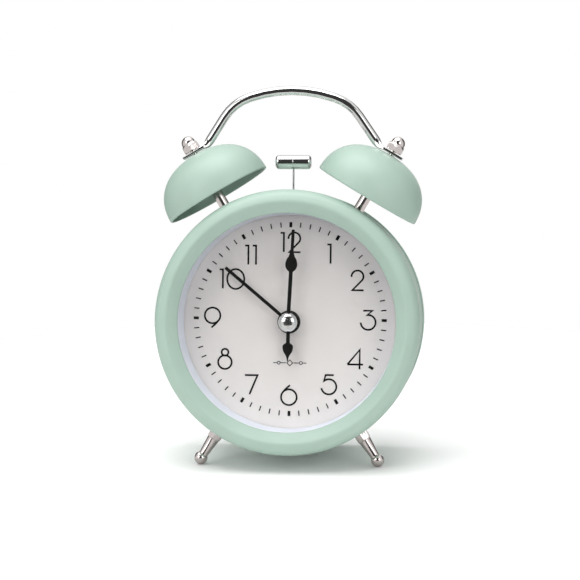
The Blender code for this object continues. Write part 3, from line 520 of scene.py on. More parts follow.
def battery_wrap():
    """A sleeve in two plain dark colours with a thin pale line between them."""
    look = finish("battery_wrap", (0.035, 0.045, 0.06), 0.3, shade=0.1, patch=4.0, coat=0.4)
    half = CELL_HALF_LENGTH * MM
    return banded(look, "X", [-half * 0.55, -half * 0.53], [(0.75, 0.75, 0.74), (0.05, 0.13, 0.12)])


def make_looks():
    mint = (0.372, 0.498, 0.428)
    return {
        "mint_paint": finish("mint_paint", mint, 0.42, shade=0.018, patch=11, grain=0.55, relief=0.004,
                             haze=0.03, tint=(0.99, 1.0, 0.995)),
        "mint_plastic": finish("mint_plastic", mint, 0.5, shade=0.02, patch=8, grain=0.22, relief=0.007,
                               haze=0.05),
        "clear_lens": clear_lens(),
        "pale_plastic": finish("pale_plastic", (0.75, 0.79, 0.87), 0.45, shade=0.015, patch=6,
                               grain=0.3, relief=0.002),
        "dial_card": finish("dial_card", (0.855, 0.822, 0.80), 0.7, shade=0.012, patch=7, grain=0.16,
                            relief=0.004, haze=0.05, specular=0.3),
        "black_paint": finish("black_paint", (0.006, 0.0057, 0.005), 0.36, shade=0.2, patch=2,
                              grain=0.2, relief=0.003, haze=0.06, specular=0.22),
        "chrome": finish("chrome", (0.80, 0.80, 0.79), 0.055, 1.0, shade=0.015, patch=5, grain=0.8,
                         relief=0.0006, haze=0.02),
        "nickel": finish("nickel", (0.78, 0.715, 0.695), 0.14, 1.0, shade=0.03, patch=1.5, grain=0.25,
                         relief=0.0015, haze=0.05, stretch=(1, 1, 4)),
        "steel": finish("steel", (0.56, 0.56, 0.57), 0.3, 1.0, shade=0.06, patch=3, grain=0.2,
                        relief=0.002, haze=0.08, stretch=(1, 1, 5)),
        "brass": finish("brass", (0.68, 0.49, 0.20), 0.26, 1.0, shade=0.06, patch=2, grain=0.18,
                        relief=0.002, haze=0.07, tint=(0.95, 0.97, 0.9)),
        "white_plastic": finish("white_plastic", (0.74, 0.74, 0.71), 0.42, shade=0.025, patch=5,
                                grain=0.2, relief=0.003),
        "dark_plastic": finish("dark_plastic", (0.028, 0.028, 0.03), 0.46, shade=0.15, patch=3,
                               grain=0.16, relief=0.006, haze=0.07),
        "copper_wire": wound_copper(),
        "board_green": finish("board_green", (0.025, 0.15, 0.065), 0.35, shade=0.18, patch=1.2,
                              grain=0.15, relief=0.003, coat=0.3),
        "battery_wrap": battery_wrap(),
    }


LOOKS = make_looks()


# ---------------- case

def bezel():
    """A rolled ring: a soft shoulder outside, a ridge in front and a flat slope in to the window."""
    low, high = span("bezel")
    outer, front, back = high.x, low.y, high.y
    ridge, crease, window, seat = outer - 4.4, outer - 1.9, outer - 8.0, outer - 6.0
    lip_back = front + 4.0
    shoulder = back - 1.8
    sleeve = span("case_drum")[1].x + 0.3
    back_edge = rounded([(sleeve, shoulder, 0), (sleeve, back, 0.1), (outer, back, 0.7),
                         (outer, 0.6, 0)], closed=False)
    roll = curve((outer, 0.6), (outer, front + 2.66), (crease, front + 1.07), 12)
    brow = curve((crease, front + 1.07), (ridge + 1.0, front + 0.10), (ridge + 0.4, front + 0.04), 8)
    nose = curve((ridge + 0.4, front + 0.04), (ridge, front), (ridge - 0.4, front + 0.31), 6)
    inner = rounded([(ridge - 0.4, front + 0.31, 0), (window, front + 3.08, 0.9),
                     (window, lip_back, 0.15), (seat, lip_back, 0), (seat, shoulder, 0)], closed=False)
    profile = [*back_edge, *roll, *brow, *nose, *inner]
    stand_in("bezel", turned(profile, segments=LARGE_ROUND), "mint_paint")


def drum():
    """A thin tube with a slot on top for the hammer's rod."""
    low, high = span("case_drum")
    outer, inner = high.x, high.x - 1.0
    slot = middle("hammer_rod").y
    near, far = slot - 0.9, slot + 0.9
    profile = [(outer, low.y), (outer, near), (outer, far), (outer, high.y - 0.4),
               (outer - 0.2, high.y), (inner, high.y), (inner, far), (inner, near), (inner, low.y)]
    bm = turned(profile, segments=LARGE_ROUND)
    half_width = 1.6
    hole = [face for face in bm.faces
            if near < face.calc_center_median().y < far
            and abs(face.calc_center_median().x) < half_width and face.calc_center_median().z > 0]
    bmesh.ops.delete(bm, geom=hole, context="FACES")
    rims = [edge for edge in bm.edges if edge.is_boundary]
    bmesh.ops.bridge_loops(bm, edges=rims)
    stand_in("case_drum", bm, "mint_paint")


def glass_and_dial():
    """The glass, the pale ring that widens from the dial towards it, and the dial."""
    low, high = span("lens")
    edge = rounded([(0, low.y, 0), (high.x, low.y, 0.2), (high.x, high.y, 0.2), (0, high.y, 0)],
                   closed=False)
    stand_in("lens", turned(edge, segments=LARGE_ROUND), "clear_lens")
    low, high = span("spacer_ring")
    mouth, bore = high.x - 1.5, high.x - 2.75
    section = [(high.x, low.y, 0), (high.x, high.y, 0), (bore, high.y, 0), (mouth, low.y, 0.2)]
    stand_in("spacer_ring", turned(rounded(section), segments=LARGE_ROUND), "pale_plastic")
    low, high = span("dial")
    section = [(3.0, low.y), (3.0, high.y), (high.x, high.y), (high.x, low.y)]
    stand_in("dial", turned(section, segments=LARGE_ROUND), "dial_card")


# ---------------- dial print

def stroke(bm, points, width, front, back, closed=False):
    """A printed line along points, mitred at its corners, from the dial's face up to its front."""
    path = [Vector(point) for point in points]
    count = len(path)
    rails = []
    for i, point in enumerate(path):
        ahead = path[(i + 1) % count] if closed or i < count - 1 else None
        behind = path[i - 1] if closed or i > 0 else None
        normals = []
        for start, end in ((behind, point), (point, ahead)):
            if start is not None and end is not None:
                run = (end - start).normalized()
                normals.append(Vector((-run.y, run.x)))
        mitre = sum(normals, Vector((0, 0))).normalized()
        reach = width / 2 / max(0.45, mitre.dot(normals[0]))
        sides = (point + mitre * reach, point - mitre * reach)
        rails.append([bm.verts.new((side.x, depth, side.y))
                      for depth in (front, back) for side in sides])
    for one, two in zip(rails, rails[1:] + rails[:1] if closed else rails[1:]):
        for a, b in ((0, 1), (1, 3), (3, 2), (2, 0)):
            bm.faces.new((one[a], one[b], two[b], two[a]))
    if not closed:
        for end in (rails[0], rails[-1]):
            bm.faces.new((end[0], end[1], end[3], end[2]))


HOOK = [(-1.87, 1.17), (-1.45, 1.7), (-0.7, 2.45), (0.35, 3.4)]
RING = arc((0, -0.7), 2.65, 151, 511)

# Centre lines of the digits: (points, closed), about the middle of each digit
DIGITS = {
    "0": [(arc((0, 0), (2.9, 3.35), 0, 360)[:-1], True)],
    "1": [([(-0.6, 3.2), (0.55, 3.2), (0.55, -3.2)], False)],
    "2": [(arc((0, 1.37), 2.0, 185, -40) + [(-1.7, -3.25), (2.1, -3.25)], False)],
    "3": [([(-1.65, 3.2), (1.45, 3.2), (-0.35, 1.72)] + arc((0.05, -0.72), 2.5, 92, -178), False)],
    "4": [([(-2.6, -1.8), (1.55, 3.2), (1.5, -3.4)], False), ([(-2.6, -1.8), (2.7, -1.8)], False)],
    "5": [([(1.65, 3.25), (-1.1, 3.25), (-1.65, 1.25)] + arc((0, -0.7), 2.55, 126, -169), False)],
    "6": [(RING[:-1], True), (HOOK, False)],
    "7": [([(-2.2, 3.2), (2.1, 3.2), (-0.6, -3.3)], False)],
    "8": [(arc((0, 2.3), 1.15, 0, 360)[:-1], True), (arc((0, -1.05), 2.3, 0, 360)[:-1], True)],
    "9": [([(-u, -v) for u, v in RING[:-1]], True), ([(-u, -v) for u, v in HOOK], False)],
}

# The middle of each numeral on the dial, and the digits' shifts from it where there are two
NUMERALS = {
    "1": (13.0, 22.1), "2": (22.7, 13.3), "3": (26.4, 0.0), "4": (22.2, -13.15),
    "5": (13.4, -21.9), "6": (-0.1, -25.65), "7": (-12.9, -22.3), "8": (-21.95, -13.8),
    "9": (-26.3, 0.2), "10": (-19.7, 13.3), "11": (-13.5, 21.45), "12": (0.0, 25.85),
}
DIGIT_SHIFTS = {"10": (-3.75, 1.17), "11": (-1.35, 1.25), "12": (-2.85, 1.25)}


def minute_track(bm, front, back):
    for minute in range(60):
        angle = math.radians(6 * minute)
        width = HOUR_TICK_WIDTH if minute % 5 == 0 else MINUTE_TICK_WIDTH
        ends = [TICK_RADIUS - TICK_LENGTH / 2, TICK_RADIUS + TICK_LENGTH / 2]
        stroke(bm, [(r * math.sin(angle), r * math.cos(angle)) for r in ends], width, front, back)


def numerals(bm, front, back):
    for numeral, (x, z) in NUMERALS.items():
        for digit, shift in zip(numeral, DIGIT_SHIFTS.get(numeral, (0,))):
            for layer, (points, closed) in enumerate(DIGITS[digit]):
                line = shifted(points, x + shift, z)
                stroke(bm, line, NUMERAL_STROKE, front - 0.006 * layer, back, closed)


def ornament(bm, front, back):
    """A small plain flourish below the middle: a diamond between two rings and four bars."""
    lines = [([(-1.0, 0), (0, 1.0), (1.0, 0), (0, -1.0)], True)]
    for side in (-1, 1):
        lines += [([(side * 1.35, 0), (side * 3.1, 0)], False),
                  (circle(0.5, 24, (side * 3.75, 0)), True),
                  ([(side * 4.4, 0), (side * 5.6, 0)], False)]
    for points, closed in lines:
        stroke(bm, shifted(points, *ORNAMENT_CENTRE), ORNAMENT_STROKE, front, back, closed)


def dial_print():
    """Ticks, numerals and ornament as one thin raised layer of ink."""
    face = span("dial")[0].y
    front, back = face - PRINT_HEIGHT, face + 0.01
    bm = bmesh.new()
    minute_track(bm, front, back)
    numerals(bm, front, back)
    ornament(bm, front, back)
    where = (PRINT_CENTRE[0], 0, PRINT_CENTRE[1])
    place("dial_print", bm, "black_paint", "dial", where, PRINT_TURN)


# ---------------- hands

def hand_outline(length, hub, stem, drop, tip):
    """A hand that points up: a round hub, a stem, a teardrop if it has one, and a thin tip."""
    hub_angle = math.degrees(math.asin(stem / 2 / hub))
    half = arc((0, 0), hub, -90, 90 - hub_angle, 40)
    if drop:
        start, end, widest, width = drop
        half.append((stem / 2, start))
        half += [(u, v) for u, v in arc((0, widest), (width / 2, widest - start), -90, 0, 10)
                 if u > stem / 2]
        half += curve((width / 2, widest), (width * 0.46, widest + 1.6),
                      (width * 0.27, widest + (end - widest) * 0.52), 6)[1:]
        half += curve(half[-1], (tip / 2 + 0.1, end - 1.2), (tip / 2, end), 4)[1:]
    half += [(tip / 2, length - 0.15), (tip / 2 - 0.15, length)]
    return half + [(-u, v) for u, v in reversed(half[1:])]


# Each hand's name, hub radius, stem width, drop (start, end, widest point, width), tip width and bore
HANDS = (
    ("minute_hand", 3.4, 1.3, (17.0, 24.4, 19.6, 4.1), 1.05, 1.1),
    ("hour_hand", 3.65, 1.25, (7.0, 12.9, 8.4, 3.6), 0.4, 1.85),
    ("alarm_hand", 3.9, 1.15, None, 1.1, 2.65),
)


def hands():
    for name, hub, stem, drop, tip, bore in HANDS:
        points = case_points(name)
        farthest = max(points, key=lambda p: p.x * p.x + p.z * p.z)
        tips = [p for p in points if (p - farthest).length < 1.5]
        angle = math.degrees(math.atan2(sum(p.x for p in tips), sum(p.z for p in tips)))
        low, high = span(name, angle)
        outline = hand_outline(high.z, hub, stem, drop, tip)
        bm = plate([outline, circle(bore, 48)], low.y, high.y)
        stand_in(name, bm, "black_paint", turn=angle, bevel=0.13)


def hand_cap():
    """A domed cap, bored from behind for the arbor."""
    low, high = span("hand_cap")
    radius, front, back = high.x + 0.13, low.y, high.y
    dome = curve((0, front), (radius * 0.78, front), (radius, back - 0.55), 16)
    profile = [*dome, (radius, back - 0.12), (radius - 0.12, back), (1.1, back), (1.1, back - 1.1),
               (0, back - 1.1)]
    stand_in("hand_cap", turned(profile), "chrome", sharp=50)


# ---------------- bells, posts, nuts and handle

def cup(rim, base, rise, start, end, steps=40):
    """The side of a bell: an ellipse with fuller shoulders."""
    points = []
    for step in range(steps + 1):
        angle = math.radians(start + (end - start) * step / steps)
        points.append((rim * math.cos(angle) ** BELL_FULLNESS,
                       base + rise * math.sin(angle) ** BELL_FULLNESS))
    return points


def bell(side):
    """A domed cup with a flat crown and a fine rolled rim; returns its angle on the case."""
    name = f"{side}_bell"
    turn = bearing(name)
    low, high = span(name, turn)
    rim, base, top = high.x + BELL_FLARE, low.z, high.z
    wall, hole = BELL_WALL, 1.25
    outer = cup(rim, base, top - base, 84, 2.5)
    inner = cup(rim - wall, base, top - base - wall, 1.5, 84)
    lip = arc((rim - wall / 2, base + wall / 2), wall / 2, 0, -180, 10)
    profile = [(hole, top - wall), (hole, top - 0.1), (hole + 0.1, top), *outer, *lip, *inner]
    radial_stand_in(name, turned(profile, "Z", LARGE_ROUND), "mint_paint", turn)
    return turn


def post(side, turn):
    """A thin stud through the case and the bell, with a stouter pillar between them."""
    name = f"{side}_bell_post"
    low, high = span(name, turn)
    drum_top = span("case_drum")[1].x + 0.3
    under_bell = span(f"{side}_bell", turn)[1].z - 1.2
    radius, stud = high.x, 1.0
    profile = rounded([(0, low.z, 0), (stud, low.z, 0.2), (stud, drum_top, 0), (radius, drum_top, 0.2),
                       (radius, under_bell, 0.2), (stud, under_bell, 0), (stud, high.z, 0.2),
                       (0, high.z, 0)], closed=False)
    radial_stand_in(name, turned(profile, "Z"), "nickel", turn)


def cap_nut(side, turn):
    """A hexagon with a chamfered foot that runs into a round cap."""
    name = f"{side}_cap_nut"
    low, high = span(name, turn)
    flats = 5.5
    dome, top = 2.4, high.z
    dome_base = top - dome
    neck = dome_base - 0.35
    rings = [hexagon_ring(flats, low.z, flats / 2 - 0.15),
             hexagon_ring(flats, low.z + 0.08, flats / 2 + 0.02),
             hexagon_ring(flats, low.z + 0.3)]
    rings += hexagon_taper(flats, neck, 0.95, dome + 0.12, 6)
    rings += [round_ring(dome + 0.08, neck + 0.06), round_ring(dome, neck + 0.14)]
    rings += ball_rings(dome, dome_base, (0, 10, 20, 30, 40, 50, 60, 68, 76, 83, 88))
    radial_stand_in(name, loft(rings), "nickel", turn, sharp=24)


def handle_path(turn, strap):
    """The rod's centre line in x and z, from the left strap's end over the top to the right one."""
    radial = Vector((math.sin(math.radians(turn)), math.cos(math.radians(turn))))
    along = Vector((radial.y, -radial.x))
    end = radial * strap + along * STRAP_OUTER
    bend = radial * strap - along * STRAP_INNER
    corners = [(-end.x, end.y), (-bend.x, bend.y)]
    corners += [(HANDLE_SHIFT - x, z) for x, z in (HANDLE_SHOULDER, HANDLE_CROWN)]
    corners += [(HANDLE_SHIFT + x, z) for x, z in (HANDLE_CROWN, HANDLE_SHOULDER)]
    corners += [tuple(bend), tuple(end)]
    radii = [0, *HANDLE_BENDS, 0]
    path = [Vector(p) for p in rounded([(x, z, r) for (x, z), r in zip(corners, radii)], closed=False)]
    spaced = [path[0]]
    for point in path[1:]:
        start = spaced[-1]
        pieces = max(1, math.ceil((point - start).length / 1.2))
        spaced += [start.lerp(point, (k + 1) / pieces) for k in range(pieces)]
    return spaced


def handle(turn):
    """A round rod whose ends are pressed flat into straps under the cap nuts."""
    strap = span("right_cap_nut", turn)[0].z - 0.3 - STRAP_THICKNESS / 2
    path = handle_path(turn, strap)
    depth = middle("handle").y
    lengths = [0.0]
    for a, b in zip(path, path[1:]):
        lengths.append(lengths[-1] + (b - a).length)
    rings = []
    sides = 40
    for i, point in enumerate(path):
        before, after = path[max(i - 1, 0)], path[min(i + 1, len(path) - 1)]
        forward = (after - before).normalized()
        normal = Vector((-forward.y, forward.x))
        from_end = min(lengths[i], lengths[-1] - lengths[i])
        share = min(max((from_end - FLAT_RUN) / BLEND_RUN, 0.0), 1.0)
        share = share * share * (3 - 2 * share)
        thick = STRAP_THICKNESS / 2 + (ROD_RADIUS - STRAP_THICKNESS / 2) * share
        wide = STRAP_WIDTH / 2 + (ROD_RADIUS - STRAP_WIDTH / 2) * share
        power = 2.0 + 6.0 * (1 - share)
        ring = []
        for k in range(sides):
            angle = math.tau * (k + 0.5) / sides
            cosine, sine = math.cos(angle), math.sin(angle)
            squash = (abs(cosine) ** power + abs(sine) ** power) ** (-1 / power)
            spot = point + normal * sine * squash * thick
            ring.append((spot.x, depth + cosine * squash * wide, spot.y))
        rings.append(ring)
    stand_in("handle", loft(rings), "chrome", sharp=45, bevel=0.12)


def hammer():
    """The head, a round bar with a fine groove round its middle, and its rod."""
    low, high = span("hammer_head")
    half, radius, notch = high.x, (high.z - low.z) / 2, 0.16
    right = rounded([(radius, notch, 0), (radius, half, 1.15), (0, half, 0)], closed=False)
    left = [(r, -x) for r, x in reversed(right)]
    profile = [*left[:-1], (radius, -notch), (radius - notch, -0.05), (radius - notch, 0.05), *right]
    stand_in("hammer_head", turned(profile, "X"), "chrome", middle("hammer_head"), sharp=40)
    low, high = span("hammer_rod")
    radius, half = (high.x - low.x) / 2, (high.z - low.z) / 2
    profile = rounded([(0, -half, 0), (radius, -half, 0.08), (radius, half, 0.08), (0, half, 0)],
                      closed=False)
    stand_in("hammer_rod", turned(profile, "Z", 32), "steel", middle("hammer_rod"))


def foot(side):
    """A hexagon collar that tapers into a round stem with a ball on its end."""
    name = f"{side}_foot"
    turn = bearing(f"{side}_foot_nut")
    low, high = span(name, turn)
    ball = 2.25
    centre = high.z - ball
    collar = span("case_drum")[1].x + 0.6
    stud, flats, shoulder = 1.0, 4.5, 47.75
    rings = [round_ring(stud, low.z), round_ring(stud, collar),
             hexagon_ring(flats, collar, flats / 2 - 0.05), hexagon_ring(flats, collar + 0.3)]
    rings += hexagon_taper(flats, shoulder, 0.5, 2.2, 5)
    rings.append(round_ring(2.1, shoulder + 0.1))
    neck_lift = -43
    neck = centre + ball * math.sin(math.radians(neck_lift))
    rings += [round_ring(1.56, neck - 0.35), round_ring(1.62, neck - 0.15)]
    rings += ball_rings(ball, centre, range(neck_lift, 89, 7))
    radial_stand_in(name, loft(rings), "nickel", turn, sharp=24)


# ---------------- back

SCREWS = ("rear_screw_top_left", "rear_screw_top_right", "rear_screw_bottom")


def raised_ring(inner, outer, rear, x, z=0.0):
    """A low moulded ring round a knob or a screw."""
    section = rounded([(inner, rear - 0.1, 0), (outer, rear - 0.1, 0), (outer, rear + 0.5, 0.2),
                       (inner, rear + 0.5, 0.2)])
    return moved(turned(section), x=x, z=z)


def rear_cover():
    """A moulded cover: a rim with a spigot, a plate with its openings, and the battery's box."""
    case = span("case_drum")[1]
    edge, back = span("rear_cover")[1].x, case.y + 2.8
    front, rear, spigot = back - 3.6, back - 2.0, case.x - 1.3
    rim = rounded([(spigot - 1.2, front - 2.2, 0.2), (spigot, front - 2.2, 0.2),
                   (spigot, case.y + 0.3, 0), (edge, case.y + 0.3, 0.25), (edge, back, 0.7),
                   (edge - 1.5, back, 0.5), (edge - 2.2, rear, 0.5), (edge - 3.4, rear, 0),
                   (edge - 3.4, front, 0), (spigot - 1.2, front, 0)])
    cell_low, cell_high = span("battery")
    half, low, top, well_front = WELL_HALF_WIDTH, cell_low.z - 0.3, cell_high.z + 0.3, cell_low.y - 0.3
    switch = span("alarm_switch")
    slot_z = (switch[0].z + switch[1].z) / 2
    holes = [circle(1.5, 32, (side * KNOB_X, 0)) for side in (-1, 1)]
    holes.append(rectangle((-3.4, slot_z - 1.3), (3.4, slot_z + 1.3), 0.5))
    holes.append(rectangle((-half, low), (half, top), 0.6))
    holes += [circle(1.1, 24, (middle(name).x, middle(name).z)) for name in SCREWS]
    sheet = plate([circle(edge - 3.3, LARGE_ROUND), *holes], front, rear)
    walls = plate([rectangle((-half - 1, low - 1), (half + 1, top + 1), 1.4),
                   rectangle((-half, low), (half, top), 0.6)], well_front - 1, front + 0.1)
    floor = block((-half - 0.5, well_front - 1, low - 0.5), (half + 0.5, well_front, top + 0.5), 1.0)
    solids = [turned(rim, segments=LARGE_ROUND), sheet, walls, floor]
    for side in (-1, 1):
        solids.append(raised_ring(6.6, 7.4, rear, side * KNOB_X))
        solids += turning_arrow(side * KNOB_X, rear, -side)
    solids += [raised_ring(2.3, 3.0, rear, middle(name).x, middle(name).z) for name in SCREWS]
    stand_in("rear_cover", joined(*solids), "mint_plastic", bevel=0.12)


def turning_arrow(x, rear, way):
    """A raised arc with an arrow head over a setting knob."""
    start, end = 60, 120
    bar = arc((0, 0), 9.4, start, end, 14) + arc((0, 0), 8.8, end, start, 14)
    base = end if way > 0 else start
    head = [polar(8.1, base), polar(10.1, base), polar(9.1, base + way * 14)]
    return [plate([shifted(outline, x, 0)], rear - 0.1, rear + 0.35) for outline in (bar, head)]


def rest_pad():
    """The small level foot under the cover's rim, which stands on the floor with the two balls."""
    low = span("rear_cover")[0]
    lean = math.atan2(CASE[1][2], CASE[1][1])
    half_width, depth, height = 7.0, 1.6, 2.0
    middle_y = span("case_drum")[1].y + 1.6
    bm = block((-half_width, -depth / 2, 0), (half_width, depth / 2, height), 0.5, "Z")
    bm.transform(Matrix.Rotation(lean, 4, "X"))
    rim = CASE @ (Vector((0, middle_y, low.z)) * MM)
    under_rim = CASE.inverted() @ Vector((0, rim.y, 0)) / MM
    place("rest_pad", bm, "mint_plastic", "rear_cover", (0, middle_y, under_rim.z), bevel=0.15)


def rear_screws():
    """Round-headed screws with crossed slots."""
    for name in SCREWS:
        low, high = span(name)
        where = (middle(name).x, 0, middle(name).z)
        head = high.y - 1.1
        profile = rounded([(0, low.y, 0), (0.8, low.y + 0.4, 0.2), (0.8, head, 0), (1.7, head, 0.15),
                           (1.7, high.y - 0.25, 0.4), (0.9, high.y, 0.2), (0, high.y, 0)], closed=False)
        cross_slot(stand_in(name, turned(profile), "steel", where), high.y)


def cross_slot(piece, top):
    """Cuts the driver's cross into a screw's head."""
    cutter = joined(block((-1.2, top - 0.6, -0.2), (1.2, top + 1, 0.2)),
                    block((-0.2, top - 0.6, 0.25), (0.2, top + 1, 1.2)),
                    block((-0.2, top - 0.6, -1.2), (0.2, top + 1, -0.25)))
    bmesh.ops.recalc_face_normals(cutter, faces=cutter.faces)
    cutter.transform(Matrix.Scale(MM, 4))
    tool = add_mesh("cross", cutter)
    tool.matrix_world = piece.matrix_world @ Matrix.Rotation(math.radians(35), 4, "Y")
    cut = piece.modifiers.new("cross", "BOOLEAN")
    cut.operation = "DIFFERENCE"
    cut.object = tool
    bpy.context.view_layer.update()
    shaped = bpy.data.meshes.new_from_object(piece.evaluated_get(bpy.context.evaluated_depsgraph_get()))
    piece.modifiers.clear()
    piece.data = shaped
    bpy.data.objects.remove(tool)


def battery_door():
    """A lid with grip ribs and a raised arrow, on two pegs."""
    low, high = span("battery_door")
    face = high.y - RIB_HEIGHT
    half = high.x - 0.5
    body = plate([rectangle((-half, low.z), (half, high.z), 0.8)], low.y, face)
    pivot = next(joint for joint in frame["joints"] if joint["name"] == "door_tilt")["pos_m"]
    axis = CASE.inverted() @ Vector(pivot) / MM
    peg = [(0, -half - 0.5), (0.3, -half - 0.5), (0.3, half + 0.5), (0, half + 0.5)]
    pegs = moved(turned(peg, "X", 24), y=axis.y, z=axis.z)
    solids = [body, pegs]
    for rib in range(3):
        z = high.z - 2.2 - 1.5 * rib
        bar = rounded([(face - 0.2, z - 0.4, 0), (face + RIB_HEIGHT, z - 0.28, 0.2),
                       (face + RIB_HEIGHT, z + 0.28, 0.2), (face - 0.2, z + 0.4, 0)])
        solids.append(plate([bar], -5.0, 5.0, "X"))
    arrow = [(-1.8, high.z - 8.4), (0, high.z - 6.6), (1.8, high.z - 8.4)]
    solids.append(plate([arrow], face - 0.1, face + 0.3))
    stand_in("battery_door", joined(*solids), "mint_plastic", bevel=0.15)


def knob(name):
    """A fluted thumb knob with a dished end, on its shaft."""
    low, high = span(name)
    centre = middle(name)
    radius, flutes = high.x - centre.x, 24
    base = high.y - 4.8

    def ring(height, size, depth):
        """A circle of the given size with flutes of the given depth."""
        points = []
        for i in range(flutes * 8):
            angle = math.tau * i / (flutes * 8)
            flute = depth * (0.5 - 0.5 * math.cos(angle * flutes)) ** 1.5
            points.append(((size - flute) * math.cos(angle), height, (size - flute) * math.sin(angle)))
        return points

    shaft = [(low.y, 1.0, 0), (base - 0.8, 1.0, 0), (base - 0.8, 3.6, 0), (base, 3.6, 0)]
    side = [(base, radius - 0.6, 0.2), (base + 0.1, radius - 0.15, 0.4), (base + 0.3, radius, 0.5),
            (high.y - 0.5, radius, 0.5), (high.y - 0.15, radius - 0.2, 0.4),
            (high.y, radius - 0.6, 0.2)]
    dish = [(high.y, radius - 1.3, 0), (high.y - 0.35, radius - 1.8, 0), (high.y - 0.5, 1.6, 0),
            (high.y - 0.45, 0.3, 0)]
    rings = [ring(*values) for values in (*shaft, *side, *dish)]
    stand_in(name, loft(rings), "dark_plastic", (centre.x, 0, 0), sharp=38)


def alarm_switch():
    """A slider with three grip ribs, on a foot that runs under the cover."""
    low, high = span("alarm_switch")
    centre = middle("alarm_switch")
    under, over = low.y + 0.8, high.y - 1.6
    half = (high.z - low.z) / 2
    foot_plate = block((-3.4, low.y, -half), (3.4, under, half), 0.3)
    stem = block((-1.1, under - 0.1, -half), (1.1, over + 0.1, half), 0.2)
    solids = [foot_plate, stem, block((-2.2, over, -half), (2.2, high.y - 0.5, half), 0.4)]
    for x in (-1.3, 0, 1.3):
        rib = rounded([(x - 0.4, high.y - 0.6, 0), (x - 0.25, high.y, 0.12), (x + 0.25, high.y, 0.12),
                       (x + 0.4, high.y - 0.6, 0)])
        solids.append(plate([rib], -half + 0.1, half - 0.1, "Z"))
    stand_in("alarm_switch", joined(*solids), "dark_plastic", (centre.x, 0, centre.z), bevel=0.1)


# ---------------- battery

def battery():
    """A cylindrical cell with a raised button at its left end."""
    low, high = span("battery")
    half, radius = (high.x - low.x) / 2, (high.z - low.z) / 2
    profile = rounded([(0, -half, 0), (2.6, -half, 0.4), (2.6, -half + 1.3, 0.2),
                       (radius - 1.6, -half + 1.3, 0.2), (radius - 1.2, -half + 1.0, 0.2),
                       (radius, -half + 1.5, 0.5), (radius, half, 0.6), (radius - 0.9, half, 0.2),
                       (radius - 1.1, half - 0.2, 0.1), (0, half - 0.2, 0)], closed=False)
    stand_in("battery", turned(profile, "X", FINE_ROUND), "battery_wrap", middle("battery"))


def battery_spring():
    """A conical wire coil between the compartment's end and the battery's flat end."""
    low, high = span("battery_spring")
    cell = middle("battery")
    wire, turns, per_turn, sides = 0.22, 2.25, 36, 12
    start_x, end_x = low.x + wire, high.x - wire
    rings = []
    count = round(turns * per_turn)
    for i in range(count + 1):
        share = i / count
        angle = math.tau * turns * share
        outward = Vector((0, math.cos(angle), math.sin(angle)))
        centre = Vector((start_x + (end_x - start_x) * share, 0, 0)) + outward * (1.6 + 2.6 * share)
        ring = []
        for k in range(sides):
            around = math.tau * k / sides
            ring.append(centre + (outward * math.cos(around) + AXES["X"] * math.sin(around)) * wire)
        rings.append(ring)
    stand_in("battery_spring", loft(rings), "nickel", (0, cell.y, cell.z), sharp=60)


# ---------------- nodes kept from the CAD

KEPT = {
    "nickel": ("left_post_nut", "right_post_nut", "left_foot_nut", "right_foot_nut",
               "battery_plate_contact"),
    "steel": ("hammer_pivot_pin", "hammer_lever", "bell_motor", "motor_bracket", "quartz_crystal",
              "stator", "movement_screw_left", "movement_screw_right"),
    "brass": ("motor_cam", "centre_wheel", "centre_arbor", "alarm_contact_spring"),
    "white_plastic": ("dial_carrier", "movement_front_plate", "movement_housing",
                      "intermediate_wheel", "third_wheel", "minute_wheel", "hour_wheel",
                      "alarm_wheel", "alarm_pinion"),
    "dark_plastic": ("rotor",),
    "copper_wire": ("coil",),
    "board_green": ("circuit_board",),
}


def carry_over():
    """Gives each CAD node that still shows its procedural material."""
    looks = {node: look for look, nodes in KEPT.items() for node in nodes}
    for node, piece in frame["nodes"].items():
        if piece.hide_render:
            continue
        for slot in piece.material_slots:
            slot.material = LOOKS[looks[node]]


# ---------------- studio

def camera():
    """The camera looks at the hands' axis from VIEW_DISTANCE, then aims a little up and right."""
    azimuth, elevation, roll = (math.radians(a) for a in (VIEW_AZIMUTH, VIEW_ELEVATION, VIEW_ROLL))
    back = Vector((math.sin(azimuth) * math.cos(elevation), -math.cos(azimuth) * math.cos(elevation),
                   math.sin(elevation)))
    right = Vector((math.cos(azimuth), math.sin(azimuth), 0))
    up = back.cross(right)
    origin = CASE.translation
    level = right * math.cos(roll) + up * math.sin(roll)
    upward = up * math.cos(roll) - right * math.sin(roll)
    position = origin + back * VIEW_DISTANCE * MM
    aim = origin + (level * AIM_RIGHT + upward * AIM_UP) * MM
    away = (position - aim).normalized()
    level = (level - away * level.dot(away)).normalized()
    turn = Matrix((level, away.cross(level), away)).transposed()
    data = bpy.data.cameras.new("camera")
    data.lens = FOCAL_LENGTH
    data.sensor_width = 36
    data.clip_start = 0.01
    data.clip_end = 20
    made = add("camera", data)
    made.matrix_world = Matrix.Translation(position) @ turn.to_4x4()
    bpy.context.scene.camera = made


def softbox(name, position, size, power, mirrored):
    """A square lamp that faces the clock; mirrored says whether glossy surfaces show it."""
    data = bpy.data.lights.new(name, "AREA")
    data.shape = "RECTANGLE"
    data.size, data.size_y = size
    data.energy = power
    lamp = add(name, data)
    lamp.visible_glossy = mirrored
    lamp.visible_transmission = mirrored
    lamp.location = position
    direction = Vector(LAMP_TARGET) - Vector(position)
    lamp.rotation_euler = direction.to_track_quat("-Z", "Y").to_euler()


def stepped(tree, value, start, end, low=0.0, high=1.0):
    """A soft step of a value: low up to start and high from end on."""
    step = node_of(tree, "ShaderNodeMapRange", interpolation_type="SMOOTHSTEP", from_min=start,
                   from_max=end, to_min=low, to_max=high)
    tree.links.new(value, step.inputs["Value"])
    return step.outputs["Result"]


